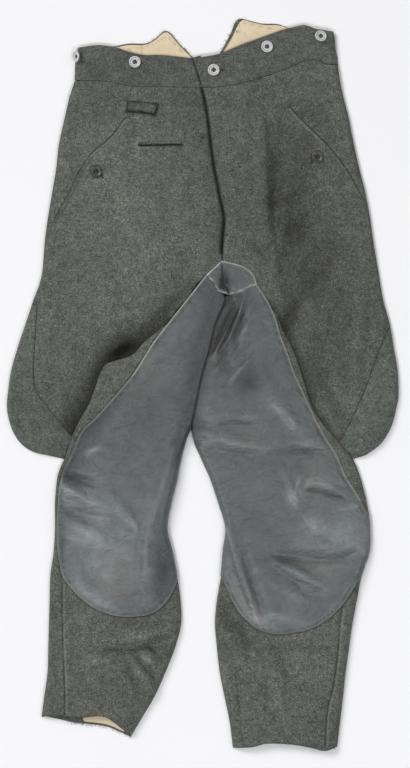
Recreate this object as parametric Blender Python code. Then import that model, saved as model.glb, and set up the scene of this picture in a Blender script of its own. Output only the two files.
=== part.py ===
# Riding breeches laid flat on their back, front upwards, waist towards +Y.
# Right and left are the wearer's: the wearer's right is at -X.
# Tables are in millimetres; meshes are made in metres at the end, moved by
# CENTRE so that the origin lies below the middle of the whole.

import math
from collections import namedtuple

import bpy
import numpy as np
from mathutils import Vector
from mathutils.geometry import delaunay_2d_cdt

MM = 0.001
WOOL = 2.2
LEATHER = 1.4
LINING = 1.0
BAND = 2.8
WELT = 1.0
GAP = 0.3
SEAM = 0.16
FLOOR = WOOL + GAP
REST = 8.6
ROLL = 9.0
UNDERLAP = 11.0
FLY_UNDERLAP = 12.0
FLY_UNDER = 6.9
CROTCH_UNDER = 5.0
CELL = 21.0
EDGE_STEP = 17.0
BUTTON_R = 9.0
BUTTON_H = 3.0
BUTTON_SIDES = 14
EDGE_BUTTON_LOW = 1.6
CENTRE = (0.47, 0.29, 0.0)

# Hips and flare: outer edge of each side at a height.
Flank = namedtuple("Flank", "y right left")
FLANKS = (
    Flank(506, -188, 198),
    Flank(488, -192, 201),
    Flank(470, -192, 204),
    Flank(434, -200, 210),
    Flank(398, -208, 219),
    Flank(362, -216, 226),
    Flank(326, -220, 234),
    Flank(290, -226, 243),
    Flank(254, -232, 250),
    Flank(218, -237, 255),
    Flank(164, -242, 264),
    Flank(128, -254, 270),
    Flank(92, -266, 280),
    Flank(56, -278, 286),
    Flank(20, -288, 292),
    Flank(-16, -293, 293),
    Flank(-34, -294, 290),
    Flank(-52, -291, 286),
    Flank(-70, -285, 279),
    Flank(-88, -273, 267),
    Flank(-100, -255, 252),
    Flank(-106, -230, 242),
    Flank(-111, -208, 225),
)

# Legs below the flare: outer and inner edge of each leg at a height.
Leg = namedtuple("Leg", "y right_out right_in left_in left_out")
LEGS = (
    Leg(-124, -214, -36, 4, 231),
    Leg(-142, -219, -39, 12, 237),
    Leg(-178, -222, -48, 24, 246),
    Leg(-214, -222, -54, 34, 250),
    Leg(-250, -224, -46, 30, 249),
    Leg(-286, -229, -39, 27, 238),
    Leg(-322, -230, -34, 21, 231),
    Leg(-358, -231, -33, 18, 224),
    Leg(-394, -232, -42, 21, 219),
    Leg(-430, -233, -56, 25, 214),
    Leg(-466, -238, -72, 32, 210),
)

# Inner edge of the right thigh, which lies on the left thigh.
Inseam = namedtuple("Inseam", "y x low")
INSEAM = (
    Inseam(138, 30, 7.4),
    Inseam(124, 32, 7.4),
    Inseam(92, 18, 7.4),
    Inseam(50, 8, 7.4),
    Inseam(15, -2, 7.4),
    Inseam(-24, -10, 7.4),
    Inseam(-60, -18, 7.0),
    Inseam(-84, -26, 3.6),
    Inseam(-106, -32, 2.5),
)
LEFT_EMERGES = ((-18, -60), (-12, -88), (-4, -106))

# Fold beside each leg where its front lies over the flare. Columns: place,
# height of the flare's cloth there, and how far the flare runs on beneath.
Fold = namedtuple("Fold", "x y under lap")
FOLD_RIGHT = (
    Fold(-51, 94, 8.3, 0),
    Fold(-87, 66, 5.4, UNDERLAP),
    Fold(-106, 46, 5.0, UNDERLAP),
    Fold(-135, 36, 5.0, UNDERLAP),
    Fold(-147, 30, 5.0, UNDERLAP),
    Fold(-156, 15, 5.0, UNDERLAP),
    Fold(-162, -3, 5.0, UNDERLAP),
    Fold(-171, -27, 5.0, UNDERLAP),
    Fold(-183, -48, 5.0, UNDERLAP),
    Fold(-194, -70, 5.0, 8),
    Fold(-202, -92, 4.9, 2),
    Fold(-208, -111, 3.6, 0),
)
FOLD_LEFT = (
    Fold(100, 120, 8.3, 0),
    Fold(111, 104, 6.8, 4),
    Fold(121, 82, 5.2, UNDERLAP),
    Fold(130, 64, 5.0, UNDERLAP),
    Fold(139, 46, 5.0, UNDERLAP),
    Fold(144, 31, 5.0, UNDERLAP),
    Fold(152, 7, 5.0, UNDERLAP),
    Fold(158, -14, 5.0, UNDERLAP),
    Fold(165, -33, 5.0, UNDERLAP),
    Fold(178, -54, 5.0, UNDERLAP),
    Fold(195, -75, 5.0, 8),
    Fold(212, -94, 4.9, 2),
    Fold(225, -111, 3.6, 0),
)

# Waist: height of the band's top edge and of its seam, by place across.
Waist = namedtuple("Waist", "x top seam")
WAIST_RIGHT = (
    Waist(-188, 506, 456),
    Waist(-158, 510, 456),
    Waist(-132, 507, 453),
    Waist(-111, 500, 448),
    Waist(-88, 495, 447),
    Waist(-60, 495, 447),
    Waist(-16, 490, 446),
    Waist(4, 489, 446),
)
WAIST_LEFT = (
    Waist(-15, 490, 446),
    Waist(9, 494, 446),
    Waist(27, 498, 447),
    Waist(56, 510, 452),
    Waist(86, 521, 460),
    Waist(117, 532, 471),
    Waist(140, 538, 480),
    Waist(153, 540, 486),
    Waist(171, 534, 487),
    Waist(184, 532, 481),
    Waist(196, 530, 480),
)

# Free edge of the fly on the left front, from the waist down.
Fly = namedtuple("Fly", "y x lap")
FLY = (
    Fly(490, -15, FLY_UNDERLAP),
    Fly(464, -6, FLY_UNDERLAP),
    Fly(446, -1, FLY_UNDERLAP),
    Fly(426, 4, FLY_UNDERLAP),
    Fly(396, 9, FLY_UNDERLAP),
    Fly(340, 16, FLY_UNDERLAP),
    Fly(312, 21, FLY_UNDERLAP),
    Fly(280, 27, FLY_UNDERLAP),
    Fly(250, 33, 8),
    Fly(214, 30, 0),
    Fly(186, 28, 0),
)
CROTCH = ((28, 186), (32, 153), (39, 135))

# Fishtail of the back waist: its top edge, across.
Tail = namedtuple("Tail", "x y")
TAIL_RIGHT = (
    Tail(-187, 503),
    Tail(-158, 506),
    Tail(-132, 508),
    Tail(-111, 512),
    Tail(-87, 512),
    Tail(-72, 519),
    Tail(-54, 531),
    Tail(-34, 510),
    Tail(-12, 488),
)
TAIL_LEFT = (
    Tail(20, 488),
    Tail(27, 500),
    Tail(40, 524),
    Tail(52, 548),
    Tail(70, 546),
    Tail(88, 542),
    Tail(112, 541),
    Tail(130, 535),
    Tail(160, 530),
    Tail(194, 526),
)

# Leg leather: cut edge on the outer side, from the crotch down and round the
# knee to the inseam.
Edge = namedtuple("Edge", "x y")
LEATHER_RIGHT = (
    Edge(4, 164),
    Edge(-17, 137),
    Edge(-40, 108),
    Edge(-51, 94),
    Edge(-74, 64),
    Edge(-88, 42),
    Edge(-106, 14),
    Edge(-135, -20),
    Edge(-160, -48),
    Edge(-182, -70),
    Edge(-196, -102),
    Edge(-211, -134),
    Edge(-216, -165),
    Edge(-218, -200),
    Edge(-218, -240),
    Edge(-211, -284),
    Edge(-200, -301),
    Edge(-184, -318),
    Edge(-164, -333),
    Edge(-144, -342),
    Edge(-120, -347),
    Edge(-96, -346),
    Edge(-78, -343),
    Edge(-64, -334),
    Edge(-52, -321),
    Edge(-42, -302),
    Edge(-39, -286),
)
LEATHER_LEFT = (
    Edge(81, 150),
    Edge(92, 134),
    Edge(100, 120),
    Edge(109, 98),
    Edge(116, 74),
    Edge(127, 46),
    Edge(137, 17),
    Edge(148, -6),
    Edge(160, -33),
    Edge(170, -54),
    Edge(183, -78),
    Edge(200, -105),
    Edge(213, -136),
    Edge(232, -166),
    Edge(244, -190),
)
LEATHER_LEFT_END = (
    Edge(243, -268),
    Edge(237, -285),
    Edge(226, -304),
    Edge(213, -324),
    Edge(196, -343),
    Edge(176, -358),
    Edge(156, -367),
    Edge(136, -371),
    Edge(116, -373),
    Edge(96, -371),
    Edge(75, -361),
    Edge(56, -343),
    Edge(44, -324),
    Edge(35, -303),
    Edge(27, -286),
)
LEATHER_LEFT_MEETS = (252.0, -205.0)
SADDLE_SEAM_RIGHT = ((4, 164), (16, 152), (22, 141), (30, 138))
SADDLE_SEAM_LEFT = ((81, 150), (70, 146), (57, 140), (39, 135))
SADDLE_TOP_RIGHT = ((28, 186), (4, 164))
SADDLE_TOP_LEFT = ((28, 186), (46, 182), (61, 177), (75, 166), (81, 150))

# Seams of the flare inserts.
INSERT_RIGHT = ((-248, 120), (-252, 60), (-254, 20), (-248, -12), (-225, -42), (-184, -94))
INSERT_LEFT = ((281, 90), (266, 56), (242, -9), (210, -76), (193, -98))

# Slanted pocket mouths and their welts.
POCKET_RIGHT = ((-117, 400), (-139, 371), (-166, 348), (-182, 326), (-201, 288), (-222, 250))
POCKET_LEFT = ((130, 417), (151, 396), (171, 372), (192, 356), (218, 322), (239, 280))
WELT_W = 6.0
FOB = ((-97, 358), (-65, 359.5), (-32, 360))
FOB_W = 5.0
TAB = ((-113, 425), (-90, 424), (-68, 420), (-72, 405), (-93, 409), (-114, 410))

# Hems.
HEM_RIGHT = ((-242, -498), (-231, -495), (-208, -496), (-182, -498), (-154, -496), (-138, -502), (-108, -526))
HEM_RIGHT_BACK = ((-240, -496), (-216, -501), (-202, -504), (-184, -507), (-156, -510), (-138, -514), (-108, -528))
HEM_LEFT = ((45, -544), (75, -542), (96, -537), (130, -538), (161, -543), (182, -548), (201, -543))
RIGHT_ANKLE = ((-72, -466), (-92, -500), (-108, -527))
LEFT_ANKLE = ((32, -466), (40, -505), (45, -544))

# Largest soft folds: line from one end to the other, bow sideways, half
# width and rise (troughs are negative).
Crease = namedtuple("Crease", "x0 y0 x1 y1 bow width rise")
CREASES_RIGHT = (
    Crease(-117, 392, -117, 300, 4, 10, -0.8),
    Crease(-60, 430, -30, 250, 8, 16, 0.8),
    Crease(-210, 230, -170, 60, -10, 18, 1.4),
    Crease(-212, -160, -150, -176, 4, 8, 1.7),
    Crease(-212, -213, -135, -242, -4, 8, 1.8),
    Crease(-208, -138, -150, -150, 0, 7, -1.2),
    Crease(-50, -87, -88, -315, -12, 8, 2.0),
    Crease(-140, -166, -95, -228, 10, 8, 1.2),
    Crease(-190, -300, -120, -250, 8, 18, 1.5),
    Crease(-147, -400, -48, -384, 6, 7, -1.8),
    Crease(-116, -402, -70, -432, 4, 7, 1.6),
    Crease(-200, -390, -190, -480, -6, 14, 1.2),
    Crease(-20, 60, -100, -40, 8, 22, 1.2),
)
CREASES_LEFT = (
    Crease(96, 416, 98, 248, 12, 10, -1.6),
    Crease(141, 270, 135, 142, 0, 9, -2.0),
    Crease(190, 220, 124, 88, -8, 10, -2.4),
    Crease(222, 190, 168, 60, -6, 13, 1.8),
    Crease(262, 190, 238, 8, 4, 8, -1.4),
    Crease(58, 214, 96, 188, 8, 7, -1.6),
    Crease(60, 400, 70, 260, -6, 18, 1.0),
    Crease(148, 44, 214, -88, 8, 6, 2.2),
    Crease(66, 130, 50, 60, 0, 6, -1.4),
    Crease(81, 62, 32, -2, -4, 7, -1.4),
    Crease(123, -38, 150, -72, 0, 10, 1.5),
    Crease(3, -76, 78, -90, 4, 9, 1.6),
    Crease(100, -98, 176, -100, 3, 7, -1.5),
    Crease(150, -150, 222, -164, 3, 9, 2.0),
    Crease(160, -192, 228, -242, 6, 15, 1.6),
    Crease(118, -255, 234, -254, -10, 7, -1.9),
    Crease(123, -278, 180, -302, 4, 8, 1.6),
    Crease(48, -262, 81, -366, 3, 7, 1.7),
    Crease(38, -345, 86, -400, 0, 9, -1.5),
    Crease(88, -382, 130, -476, 4, 9, 1.5),
)

# Buttons: place, lean in degrees towards a bearing, and whether of metal.
Button = namedtuple("Button", "name x y lean bearing metal carrier")
BUTTONS = (
    Button("button_waist_right", -102, 484, 0, 0, True, "band_right"),
    Button("button_waist_right_side", -188.4, 492, 58, 180, True, "edge"),
    Button("button_waist_left", 96, 507, 0, 0, True, "band_left"),
    Button("button_waist_left_side", 176, 522, 22, 60, True, "band_left"),
    Button("button_closing", 16, 472, 0, 0, True, "band_left"),
    Button("button_pocket_right", -160, 320, 0, 0, False, "front_right"),
    Button("button_pocket_left", 171, 342, 0, 0, False, "front_left"),
)

# Finish: colour, roughness, metallic.
Finish = namedtuple("Finish", "red green blue rough metal")
FINISHES = {
    "wool": Finish(0.115, 0.118, 0.105, 0.95, 0.0),
    "wool_insert": Finish(0.100, 0.118, 0.102, 0.95, 0.0),
    "leather": Finish(0.125, 0.138, 0.140, 0.55, 0.0),
    "lining": Finish(0.80, 0.66, 0.44, 0.9, 0.0),
    "metal_button": Finish(0.42, 0.42, 0.42, 0.4, 0.8),
    "dark_button": Finish(0.05, 0.05, 0.045, 0.4, 0.0),
}


# Lines in the plane.


def smooth(marks, step=EDGE_STEP):
    """A soft curve through marks, with points about a step apart."""
    p = np.array([m[:2] for m in marks], float)
    if len(p) == 2:
        n = max(1, round(math.dist(p[0], p[1]) / step))
        return [tuple(p[0] + (p[1] - p[0]) * i / n) for i in range(n + 1)]
    q = np.vstack([2 * p[0] - p[1], p, 2 * p[-1] - p[-2]])
    fine = []
    for i in range(1, len(q) - 2):
        a, b, c, d = q[i - 1 : i + 3]
        for t in np.linspace(0, 1, 12, endpoint=False):
            lead = 2 * b + (c - a) * t + (2 * a - 5 * b + 4 * c - d) * t * t
            fine.append((lead + (3 * b - a - 3 * c + d) * t**3) / 2)
    fine = np.array(fine + [p[-1]])
    run = np.concatenate([[0], np.cumsum(np.linalg.norm(np.diff(fine, axis=0), axis=1))])
    n = max(2, round(run[-1] / step))
    at = np.linspace(0, run[-1], n + 1)
    x, y = np.interp(at, run, fine[:, 0]), np.interp(at, run, fine[:, 1])
    return list(zip(x.tolist(), y.tolist()))


def join(*lines):
    """One closed loop out of lines that follow each other."""
    loop = []
    for line in lines:
        for p in line:
            if not loop or math.dist(loop[-1], p) > 0.8:
                loop.append((float(p[0]), float(p[1])))
    while math.dist(loop[0], loop[-1]) < 0.8:
        loop.pop()
    return loop


def shifted(line, by):
    """Line moved sideways to its left by an amount for each point."""
    p = np.array(line, float)
    t = np.gradient(p, axis=0)
    t /= np.linalg.norm(t, axis=1)[:, None]
    by = np.broadcast_to(by, len(p))[:, None]
    return [tuple(q) for q in p + np.stack([-t[:, 1], t[:, 0]], axis=1) * by]


def inside(points, loop):
    """Which points lie in a closed loop."""
    x, y = points[:, 0], points[:, 1]
    hit = np.zeros(len(points), bool)
    for (x0, y0), (x1, y1) in zip(loop, loop[1:] + loop[:1]):
        if y0 != y1:
            over = (y0 > y) != (y1 > y)
            hit ^= over & (x < (x1 - x0) * (y - y0) / (y1 - y0) + x0)
    return hit


def near(points, line):
    """Distance from points to a line, and how far along it they lie."""
    line = np.array([q[:2] for q in line], float)
    best = np.full(len(points), 1e9)
    along = np.zeros(len(points))
    for i in range(len(line) - 1):
        a, d = line[i], line[i + 1] - line[i]
        t = np.clip(((points - a) @ d) / max(d @ d, 1e-9), 0, 1)
        dist = np.linalg.norm(points - a - t[:, None] * d, axis=1)
        take = dist < best
        best[take], along[take] = dist[take], (i + t)[take]
    return best, along


def between(along, values):
    """Value of a table's column at a place along its line."""
    return np.interp(along, np.arange(len(values)), values)


# Heights.


def bent(x0, y0, x1, y1, bow):
    """A bowed line between two ends."""
    long = max(math.dist((x0, y0), (x1, y1)), 1e-6)
    nx, ny = -(y1 - y0) / long, (x1 - x0) / long
    line = []
    for i in range(9):
        t = i / 8
        s = 4 * t * (1 - t) * bow
        line.append((x0 + (x1 - x0) * t + nx * s, y0 + (y1 - y0) * t + ny * s))
    return line


def creased(points, creases):
    """Rise of all the folds at the points."""
    rise = np.zeros(len(points))
    for c in creases:
        d, along = near(points, bent(c.x0, c.y0, c.x1, c.y1, c.bow))
        fade = np.sin(np.pi * np.clip(along / 8 * 0.9 + 0.05, 0, 1)) ** 0.7
        rise += c.rise * fade * np.exp(-((d / c.width) ** 2))
    return rise


def rolled(points, z, line, low, width=ROLL):
    """Height brought down in a round to a low edge."""
    d, along = near(points, line)
    low = between(along, low) if np.ndim(low) else np.full(len(points), low)
    t = np.clip(d / width, 0, 1)
    q = np.sqrt(np.clip(1 - (1 - t) ** 2, 0, 1))
    return np.minimum(z, low + np.maximum(z - low, 0.3) * q)


def sunk(points, z, line, low, width):
    """Height eased down towards a line."""
    d, along = near(points, line)
    low = between(along, low) if np.ndim(low) else np.full(len(points), low)
    t = np.clip(d / width, 0, 1)
    return low + (z - low) * t * t * (3 - 2 * t)


# Surfaces and solids.


class Cloth:
    """A faceted surface over a closed outline, from which pieces are cut."""

    def __init__(self, outline, lines, rolls, height, floor, flats=(), cell=CELL):
        points = list(outline)
        n = len(points)
        edges = [(i, (i + 1) % n) for i in range(n)]
        for line in lines:
            start = len(points)
            points += [tuple(p[:2]) for p in line]
            edges += [(i, i + 1) for i in range(start, len(points) - 1)]
        fixed = [list(outline) + [outline[0]]] + [[p[:2] for p in line] for line in lines]
        extra = []
        for roll in rolls:
            for away in (1.6, 5.0):
                extra += shifted(roll, away) + shifted(roll, -away)
        for x, y in flats:
            extra.append((x, y))
            for k in range(8):
                a = math.tau * k / 8
                extra.append((x + 11.5 * math.cos(a), y + 11.5 * math.sin(a)))
        extra = self.clear(np.array(extra).reshape(-1, 2), outline, fixed, 1.2)
        low, high = np.min(outline, axis=0), np.max(outline, axis=0)
        grid, row, y = [], 0, low[1] + cell / 2
        while y < high[1]:
            x = low[0] + (cell / 2 if row % 2 else 0)
            while x < high[0]:
                grid.append((x, y))
                x += cell
            y, row = y + cell * 0.866, row + 1
        grid = self.clear(np.array(grid), outline, fixed, 0.5 * cell)
        if len(extra) and len(grid):
            gap = np.linalg.norm(grid[:, None] - extra[None], axis=2).min(axis=1)
            grid = grid[gap > 0.55 * cell]
        points += [tuple(p) for p in extra] + [tuple(p) for p in grid]
        found = delaunay_2d_cdt([Vector(p) for p in points], edges, [], 0, 1e-3)
        self.xy = np.array([tuple(v) for v in found[0]], float)
        tris = np.array([f for f in found[2] if len(f) == 3])
        mid = self.xy[tris].mean(axis=1)
        tris = tris[inside(mid, outline)]
        a, b, c = (self.xy[tris[:, i]] for i in range(3))
        turn = (b[:, 0] - a[:, 0]) * (c[:, 1] - a[:, 1]) - (b[:, 1] - a[:, 1]) * (c[:, 0] - a[:, 0])
        tris[turn < 0] = tris[turn < 0][:, ::-1]
        self.tris = tris[np.abs(turn) > 1e-3]
        z = height(self.xy)
        for x, y in flats:
            ring = np.linalg.norm(self.xy - (x, y), axis=1) < 12.2
            z[ring] = z[ring].max()
        self.top = np.column_stack([self.xy, z])
        self.floor = floor(self.xy)
        self.normal = self.normals()

    @staticmethod
    def clear(points, outline, fixed, away):
        """Points inside the outline and clear of the fixed lines."""
        if not len(points):
            return points
        keep = inside(points, outline)
        for line in fixed:
            keep &= near(points, line)[0] > away
        points = points[keep]
        left = []
        for p in points:
            if all(math.dist(p, q) > min(away, 3.0) for q in left[-400:]):
                left.append(tuple(p))
        return np.array(left).reshape(-1, 2)

    def normals(self):
        """Normal at each point, from the facets around it."""
        n = np.zeros_like(self.top)
        a, b, c = (self.top[self.tris[:, i]] for i in range(3))
        face = np.cross(b - a, c - a)
        for i in range(3):
            np.add.at(n, self.tris[:, i], face)
        long = np.linalg.norm(n, axis=1)[:, None]
        return n / np.where(long > 0, long, 1)

    def height_at(self, x, y):
        """Height of the surface at a place."""
        p = np.array([x, y])
        for t in self.tris:
            a, b, c = self.xy[t]
            m = np.column_stack([b - a, c - a])
            u, v = np.linalg.solve(m, p - a)
            if u >= -1e-6 and v >= -1e-6 and u + v <= 1 + 1e-6:
                za, zb, zc = self.top[t, 2]
                return za + u * (zb - za) + v * (zc - za)
        return float(self.top[:, 2].max())

    def piece(self, name, finish, inner, outer, regions=(), without=()):
        """A closed solid over the facets of some regions."""
        mid = self.xy[self.tris].mean(axis=1)
        take = np.ones(len(mid), bool)
        for loop in regions:
            take &= inside(mid, loop)
        for loop in without:
            take &= ~inside(mid, loop)
        tris = self.tris[take]
        used = np.unique(tris)
        back = np.full(len(self.xy), -1)
        back[used] = np.arange(len(used))
        tris = back[tris]
        top, normal = self.top[used], self.normal[used]
        low, high = top + normal * inner, top + normal * outer
        low[:, 2] = np.maximum(low[:, 2], self.floor[used])
        ends = {}
        for a, b, c in tris:
            for e in ((a, b), (b, c), (c, a)):
                ends[e] = ends.get(e, 0) + 1
        rim = [e for e in ends if (e[1], e[0]) not in ends]
        draw = np.zeros((len(used), 2))
        for a, b in rim:
            d = top[b, :2] - top[a, :2]
            n = np.array([-d[1], d[0]]) / max(np.linalg.norm(d), 1e-9)
            draw[a] += n
            draw[b] += n
        long = np.linalg.norm(draw, axis=1)
        move = draw / np.where(long > 0, long, 1)[:, None] * SEAM
        low[:, :2] += move
        high[:, :2] += move
        n = len(used)
        faces = [tuple(int(i) for i in t) for t in tris]
        faces += [tuple(int(i) + n for i in t[::-1]) for t in tris]
        for a, b in rim:
            faces.append((int(a), int(a) + n, int(b) + n, int(b)))
        return solid(name, np.vstack([high, low]), faces, finish)


def material(name):
    """A plain finish for one piece."""
    f = FINISHES[name]
    made = bpy.data.materials.get(name) or bpy.data.materials.new(name)
    made.use_nodes = True
    shader = made.node_tree.nodes["Principled BSDF"]
    shader.inputs["Base Color"].default_value = (f.red, f.green, f.blue, 1)
    shader.inputs["Roughness"].default_value = f.rough
    shader.inputs["Metallic"].default_value = f.metal
    return made


def solid(name, points, faces, finish):
    """An object from points in millimetres."""
    mesh = bpy.data.meshes.new(name)
    moved = np.asarray(points, float) + CENTRE
    mesh.from_pydata([tuple(float(v) * MM for v in p) for p in moved], [], faces)
    mesh.validate()
    mesh.update()
    made = bpy.data.objects.new(name, mesh)
    made.data.materials.append(material(finish))
    bpy.context.collection.objects.link(made)
    return made


def plate(name, loop, low, thick, finish):
    """A flat piece cut to an outline."""
    cut = Cloth(
        loop,
        (),
        (),
        lambda p: np.full(len(p), low + thick),
        lambda p: np.full(len(p), low),
        cell=400.0,
    )
    return cut.piece(name, finish, -thick, 0.0)


def button(name, x, y, z, lean, bearing, finish):
    """A round four-hole button with a raised rim, resting at a height."""
    rings = ((BUTTON_R, 2.3), (BUTTON_R - 1.0, BUTTON_H), (BUTTON_R - 3.2, 1.9))
    points, heights, edges = [], [], []
    for r, h in rings:
        start = len(points)
        for k in range(BUTTON_SIDES):
            a = math.tau * k / BUTTON_SIDES
            points.append((r * math.cos(a), r * math.sin(a)))
            heights.append(h)
        edges += [(start + k, start + (k + 1) % BUTTON_SIDES) for k in range(BUTTON_SIDES)]
    holes = []
    for k in range(4):
        a = math.tau * (k + 0.5) / 4
        hx, hy = 2.4 * math.cos(a), 2.4 * math.sin(a)
        loop = [(hx + math.cos(math.tau * j / 5), hy + math.sin(math.tau * j / 5)) for j in range(5)]
        start = len(points)
        points += loop
        heights += [1.9] * 5
        edges += [(start + j, start + (j + 1) % 5) for j in range(5)]
        holes.append(loop)
    found = delaunay_2d_cdt([Vector(p) for p in points], edges, [], 0, 1e-4)
    xy = np.array([tuple(v) for v in found[0]])
    high = np.array([heights[o[0]] for o in found[3]])
    tris = [t for t in found[2] if len(t) == 3]
    mid = np.array([xy[list(t)].mean(axis=0) for t in tris])
    keep = np.ones(len(tris), bool)
    for loop in holes:
        keep &= ~inside(mid, loop)
    faces = []
    for t, k in zip(tris, keep):
        if k:
            a, b, c = (xy[i] for i in t)
            turn = (b[0] - a[0]) * (c[1] - a[1]) - (b[1] - a[1]) * (c[0] - a[0])
            faces.append(tuple(t) if turn > 0 else tuple(t)[::-1])
    known = {(t[i], t[(i + 1) % 3]) for t in faces for i in range(3)}
    rim = [e for e in known if (e[1], e[0]) not in known]
    n = len(xy)
    faces += [tuple(i + n for i in t[::-1]) for t in faces]
    faces += [(a, a + n, b + n, b) for a, b in sorted(rim)]
    up = np.column_stack([xy, high])
    down = np.column_stack([xy, np.zeros(n)])
    body = np.vstack([up, down])
    tilt, turn = math.radians(lean), math.radians(bearing)
    c, s = math.cos(turn), math.sin(turn)
    spin = np.array([[c, -s, 0], [s, c, 0], [0, 0, 1]])
    c, s = math.cos(tilt), math.sin(tilt)
    tip = np.array([[c, 0, s], [0, 1, 0], [-s, 0, c]])
    body = body @ (spin @ tip @ spin.T).T
    body += (x, y, z - body[:, 2].min())
    return solid(name, body, faces, finish)


for old in list(bpy.data.objects):
    bpy.data.objects.remove(old, do_unlink=True)

# Outlines shared by several pieces.
flank_right = [(f.right, f.y) for f in FLANKS]
flank_left = [(f.left, f.y) for f in FLANKS]
side_right = smooth([p for p in flank_right if p[1] <= 434])
side_left = smooth([p for p in flank_left if p[1] <= 434])
top_side_right = smooth([(-193, 456)] + [p for p in flank_right if p[1] <= 434])
top_side_left = smooth([(203, 480)] + [p for p in flank_left if p[1] <= 470])
out_right = smooth([(-208, -111)] + [(g.right_out, g.y) for g in LEGS] + [(-242, -498)])
out_left = smooth([(225, -111)] + [(g.left_out, g.y) for g in LEGS] + [(201, -543)])
inseam = smooth([(s.x, s.y) for s in INSEAM])
inseam_low = np.interp([-p[1] for p in inseam], [-s.y for s in INSEAM], [s.low for s in INSEAM])
in_right = smooth([(-32, -106)] + [(g.right_in, g.y) for g in LEGS] + list(RIGHT_ANKLE[1:]))
in_left = smooth(list(LEFT_EMERGES) + [(g.left_in, g.y) for g in LEGS] + list(LEFT_ANKLE[1:]))
fold_right = smooth(FOLD_RIGHT, 15)
fold_left = smooth(FOLD_LEFT, 15)
crotch = smooth(CROTCH, 10)
seam_right = smooth([(w.x, w.seam) for w in WAIST_RIGHT])
seam_left = smooth([(w.x, w.seam) for w in WAIST_LEFT])
fly = smooth([(f.x, f.y) for f in FLY])
fly_low = [f for f in fly if f[1] < 445]
fly_lap = np.interp([-p[1] for p in fly_low], [-f.y for f in FLY], [f.lap for f in FLY])
edge_right = smooth(LEATHER_RIGHT)
edge_left = smooth(LEATHER_LEFT)
edge_left_end = smooth(LEATHER_LEFT_END)
saddle_right = smooth(SADDLE_SEAM_RIGHT, 8)
saddle_left = smooth(SADDLE_SEAM_LEFT, 8)
above_right = [p for p in edge_right if p[1] > 94] + [(-51.0, 94.0)]
above_left = [p for p in edge_left if p[1] > 120] + [(100.0, 120.0)]


def fold_column(table, line, name):
    """A fold table's column at each point of its smoothed line."""
    along = near(np.array(line), table)[1]
    return between(along, [getattr(r, name) for r in table])


# Backs, flat on the surface.
centre = smooth([(3, 470), (12, 380), (23, 250), (30, 138)], 40)
lapped = [p for p in inseam if p[1] > -62]
back_in_right = join(inseam, in_right)
hem_back = smooth(HEM_RIGHT_BACK)
loop = join(
    [(3, 446)],
    [p for p in centre if p[1] < 446],
    back_in_right,
    hem_back[::-1],
    out_right[::-1],
    side_right[::-1],
    [(-191, 446)],
)
plate("back_right", loop, 0.0, WOOL, "wool")
loop = join(
    [(3.6, 446)],
    [(202, 470)],
    side_left,
    out_left,
    smooth(HEM_LEFT)[::-1],
    in_left[:0:-1],
    [(x + 0.8, y) for x, y in lapped[::-1]],
    [(x + 0.8, y) for x, y in centre if y < 446][::-1],
)
plate("back_left", loop, 0.0, WOOL, "wool")
loop = join(smooth(TAIL_RIGHT), [(-1, 482), (3, 470), (3, 446.6), (-191, 446.6)])
plate("back_tail_right", loop, 0.0, WOOL, "wool")
loop = join([(3.6, 446.6), (3.6, 470), (10, 482)], smooth(TAIL_LEFT), [(202, 490), (202, 470.6)])
plate("back_tail_left", loop, 0.0, WOOL, "wool")
loop = join([(x, y - 2.2) for x, y in smooth(TAIL_RIGHT) if x > -150], [(-20, 478), (-150, 486)])
plate("tail_lining_right", loop, FLOOR, LINING, "lining")
loop = join(
    [(26, 484)],
    [(x + 2.4, y - 2.0) for x, y in smooth(TAIL_LEFT) if 24 < x < 150],
    [(152, 515), (80, 500)],
)
plate("tail_lining_left", loop, FLOOR, LINING, "lining")
loop = join(
    [(-216, -478), (-216, -499)],
    [(x, y + 1.5) for x, y in hem_back if -212 < x < -112],
    [(-112, -521), (-124, -494), (-160, -480)],
)
plate("hem_lining_right", loop, FLOOR, LINING, "lining")


# Right front: hip and flare.
lap_right = fold_column(FOLD_RIGHT, fold_right, "lap")
under_right = fold_column(FOLD_RIGHT, fold_right, "under")
fold_edge = [(x, y) for x, y in fold_right]
flare_edge = shifted(fold_right, lap_right)
fly_edge = shifted(fly_low, fly_lap)
front_right_loop = join(
    top_side_right,
    flare_edge[::-1],
    above_right[::-1],
    saddle_right,
    crotch[::-1],
    fly_edge[::-1],
    [(10.6, 446)],
    [p for p in seam_right if p[0] < 2][::-1],
)


def past_fly(p):
    """Which points lie on the left of the fly's free edge."""
    edge = np.interp(-p[:, 1], [-f.y for f in FLY], [f.x for f in FLY])
    return (p[:, 0] > edge - 1) & (p[:, 1] > 192)


def front_right_height(p):
    z = REST + creased(p, CREASES_RIGHT)
    z = sunk(p, z, fly, FLY_UNDER, 26)
    z = np.where(past_fly(p), FLY_UNDER, z)
    d, along = near(p, fold_right)
    low = between(along, under_right)
    lies_under = inside(p, leg_right_loop)
    t = np.clip(d / 30, 0, 1)
    z = np.where(lies_under, low, low + (z - low) * t * t * (3 - 2 * t))
    z = np.maximum(z, FLOOR + WOOL + 0.05)
    return rolled(p, z, top_side_right, FLOOR)


def leg_right_floor(p):
    low = np.full(len(p), FLOOR)
    d, along = near(p, fold_right)
    over = d < between(along, lap_right) + 7
    low = np.where(over, between(along, under_right) + 2 * GAP, low)
    d, along = near(p, inseam)
    over = (d < 12) & (p[:, 1] > -72)
    return np.where(over, np.maximum(low, CROTCH_UNDER + LEATHER + 3 * GAP), low)


def leg_right_height(p):
    z = REST + 0.6 + creased(p, CREASES_RIGHT)
    z = rolled(p, z, fold_right, np.array(under_right) + 1.0, 7)
    z = rolled(p, z, out_right, FLOOR)
    z = rolled(p, z, in_right, FLOOR)
    return rolled(p, z, inseam, inseam_low, 7)


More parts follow.
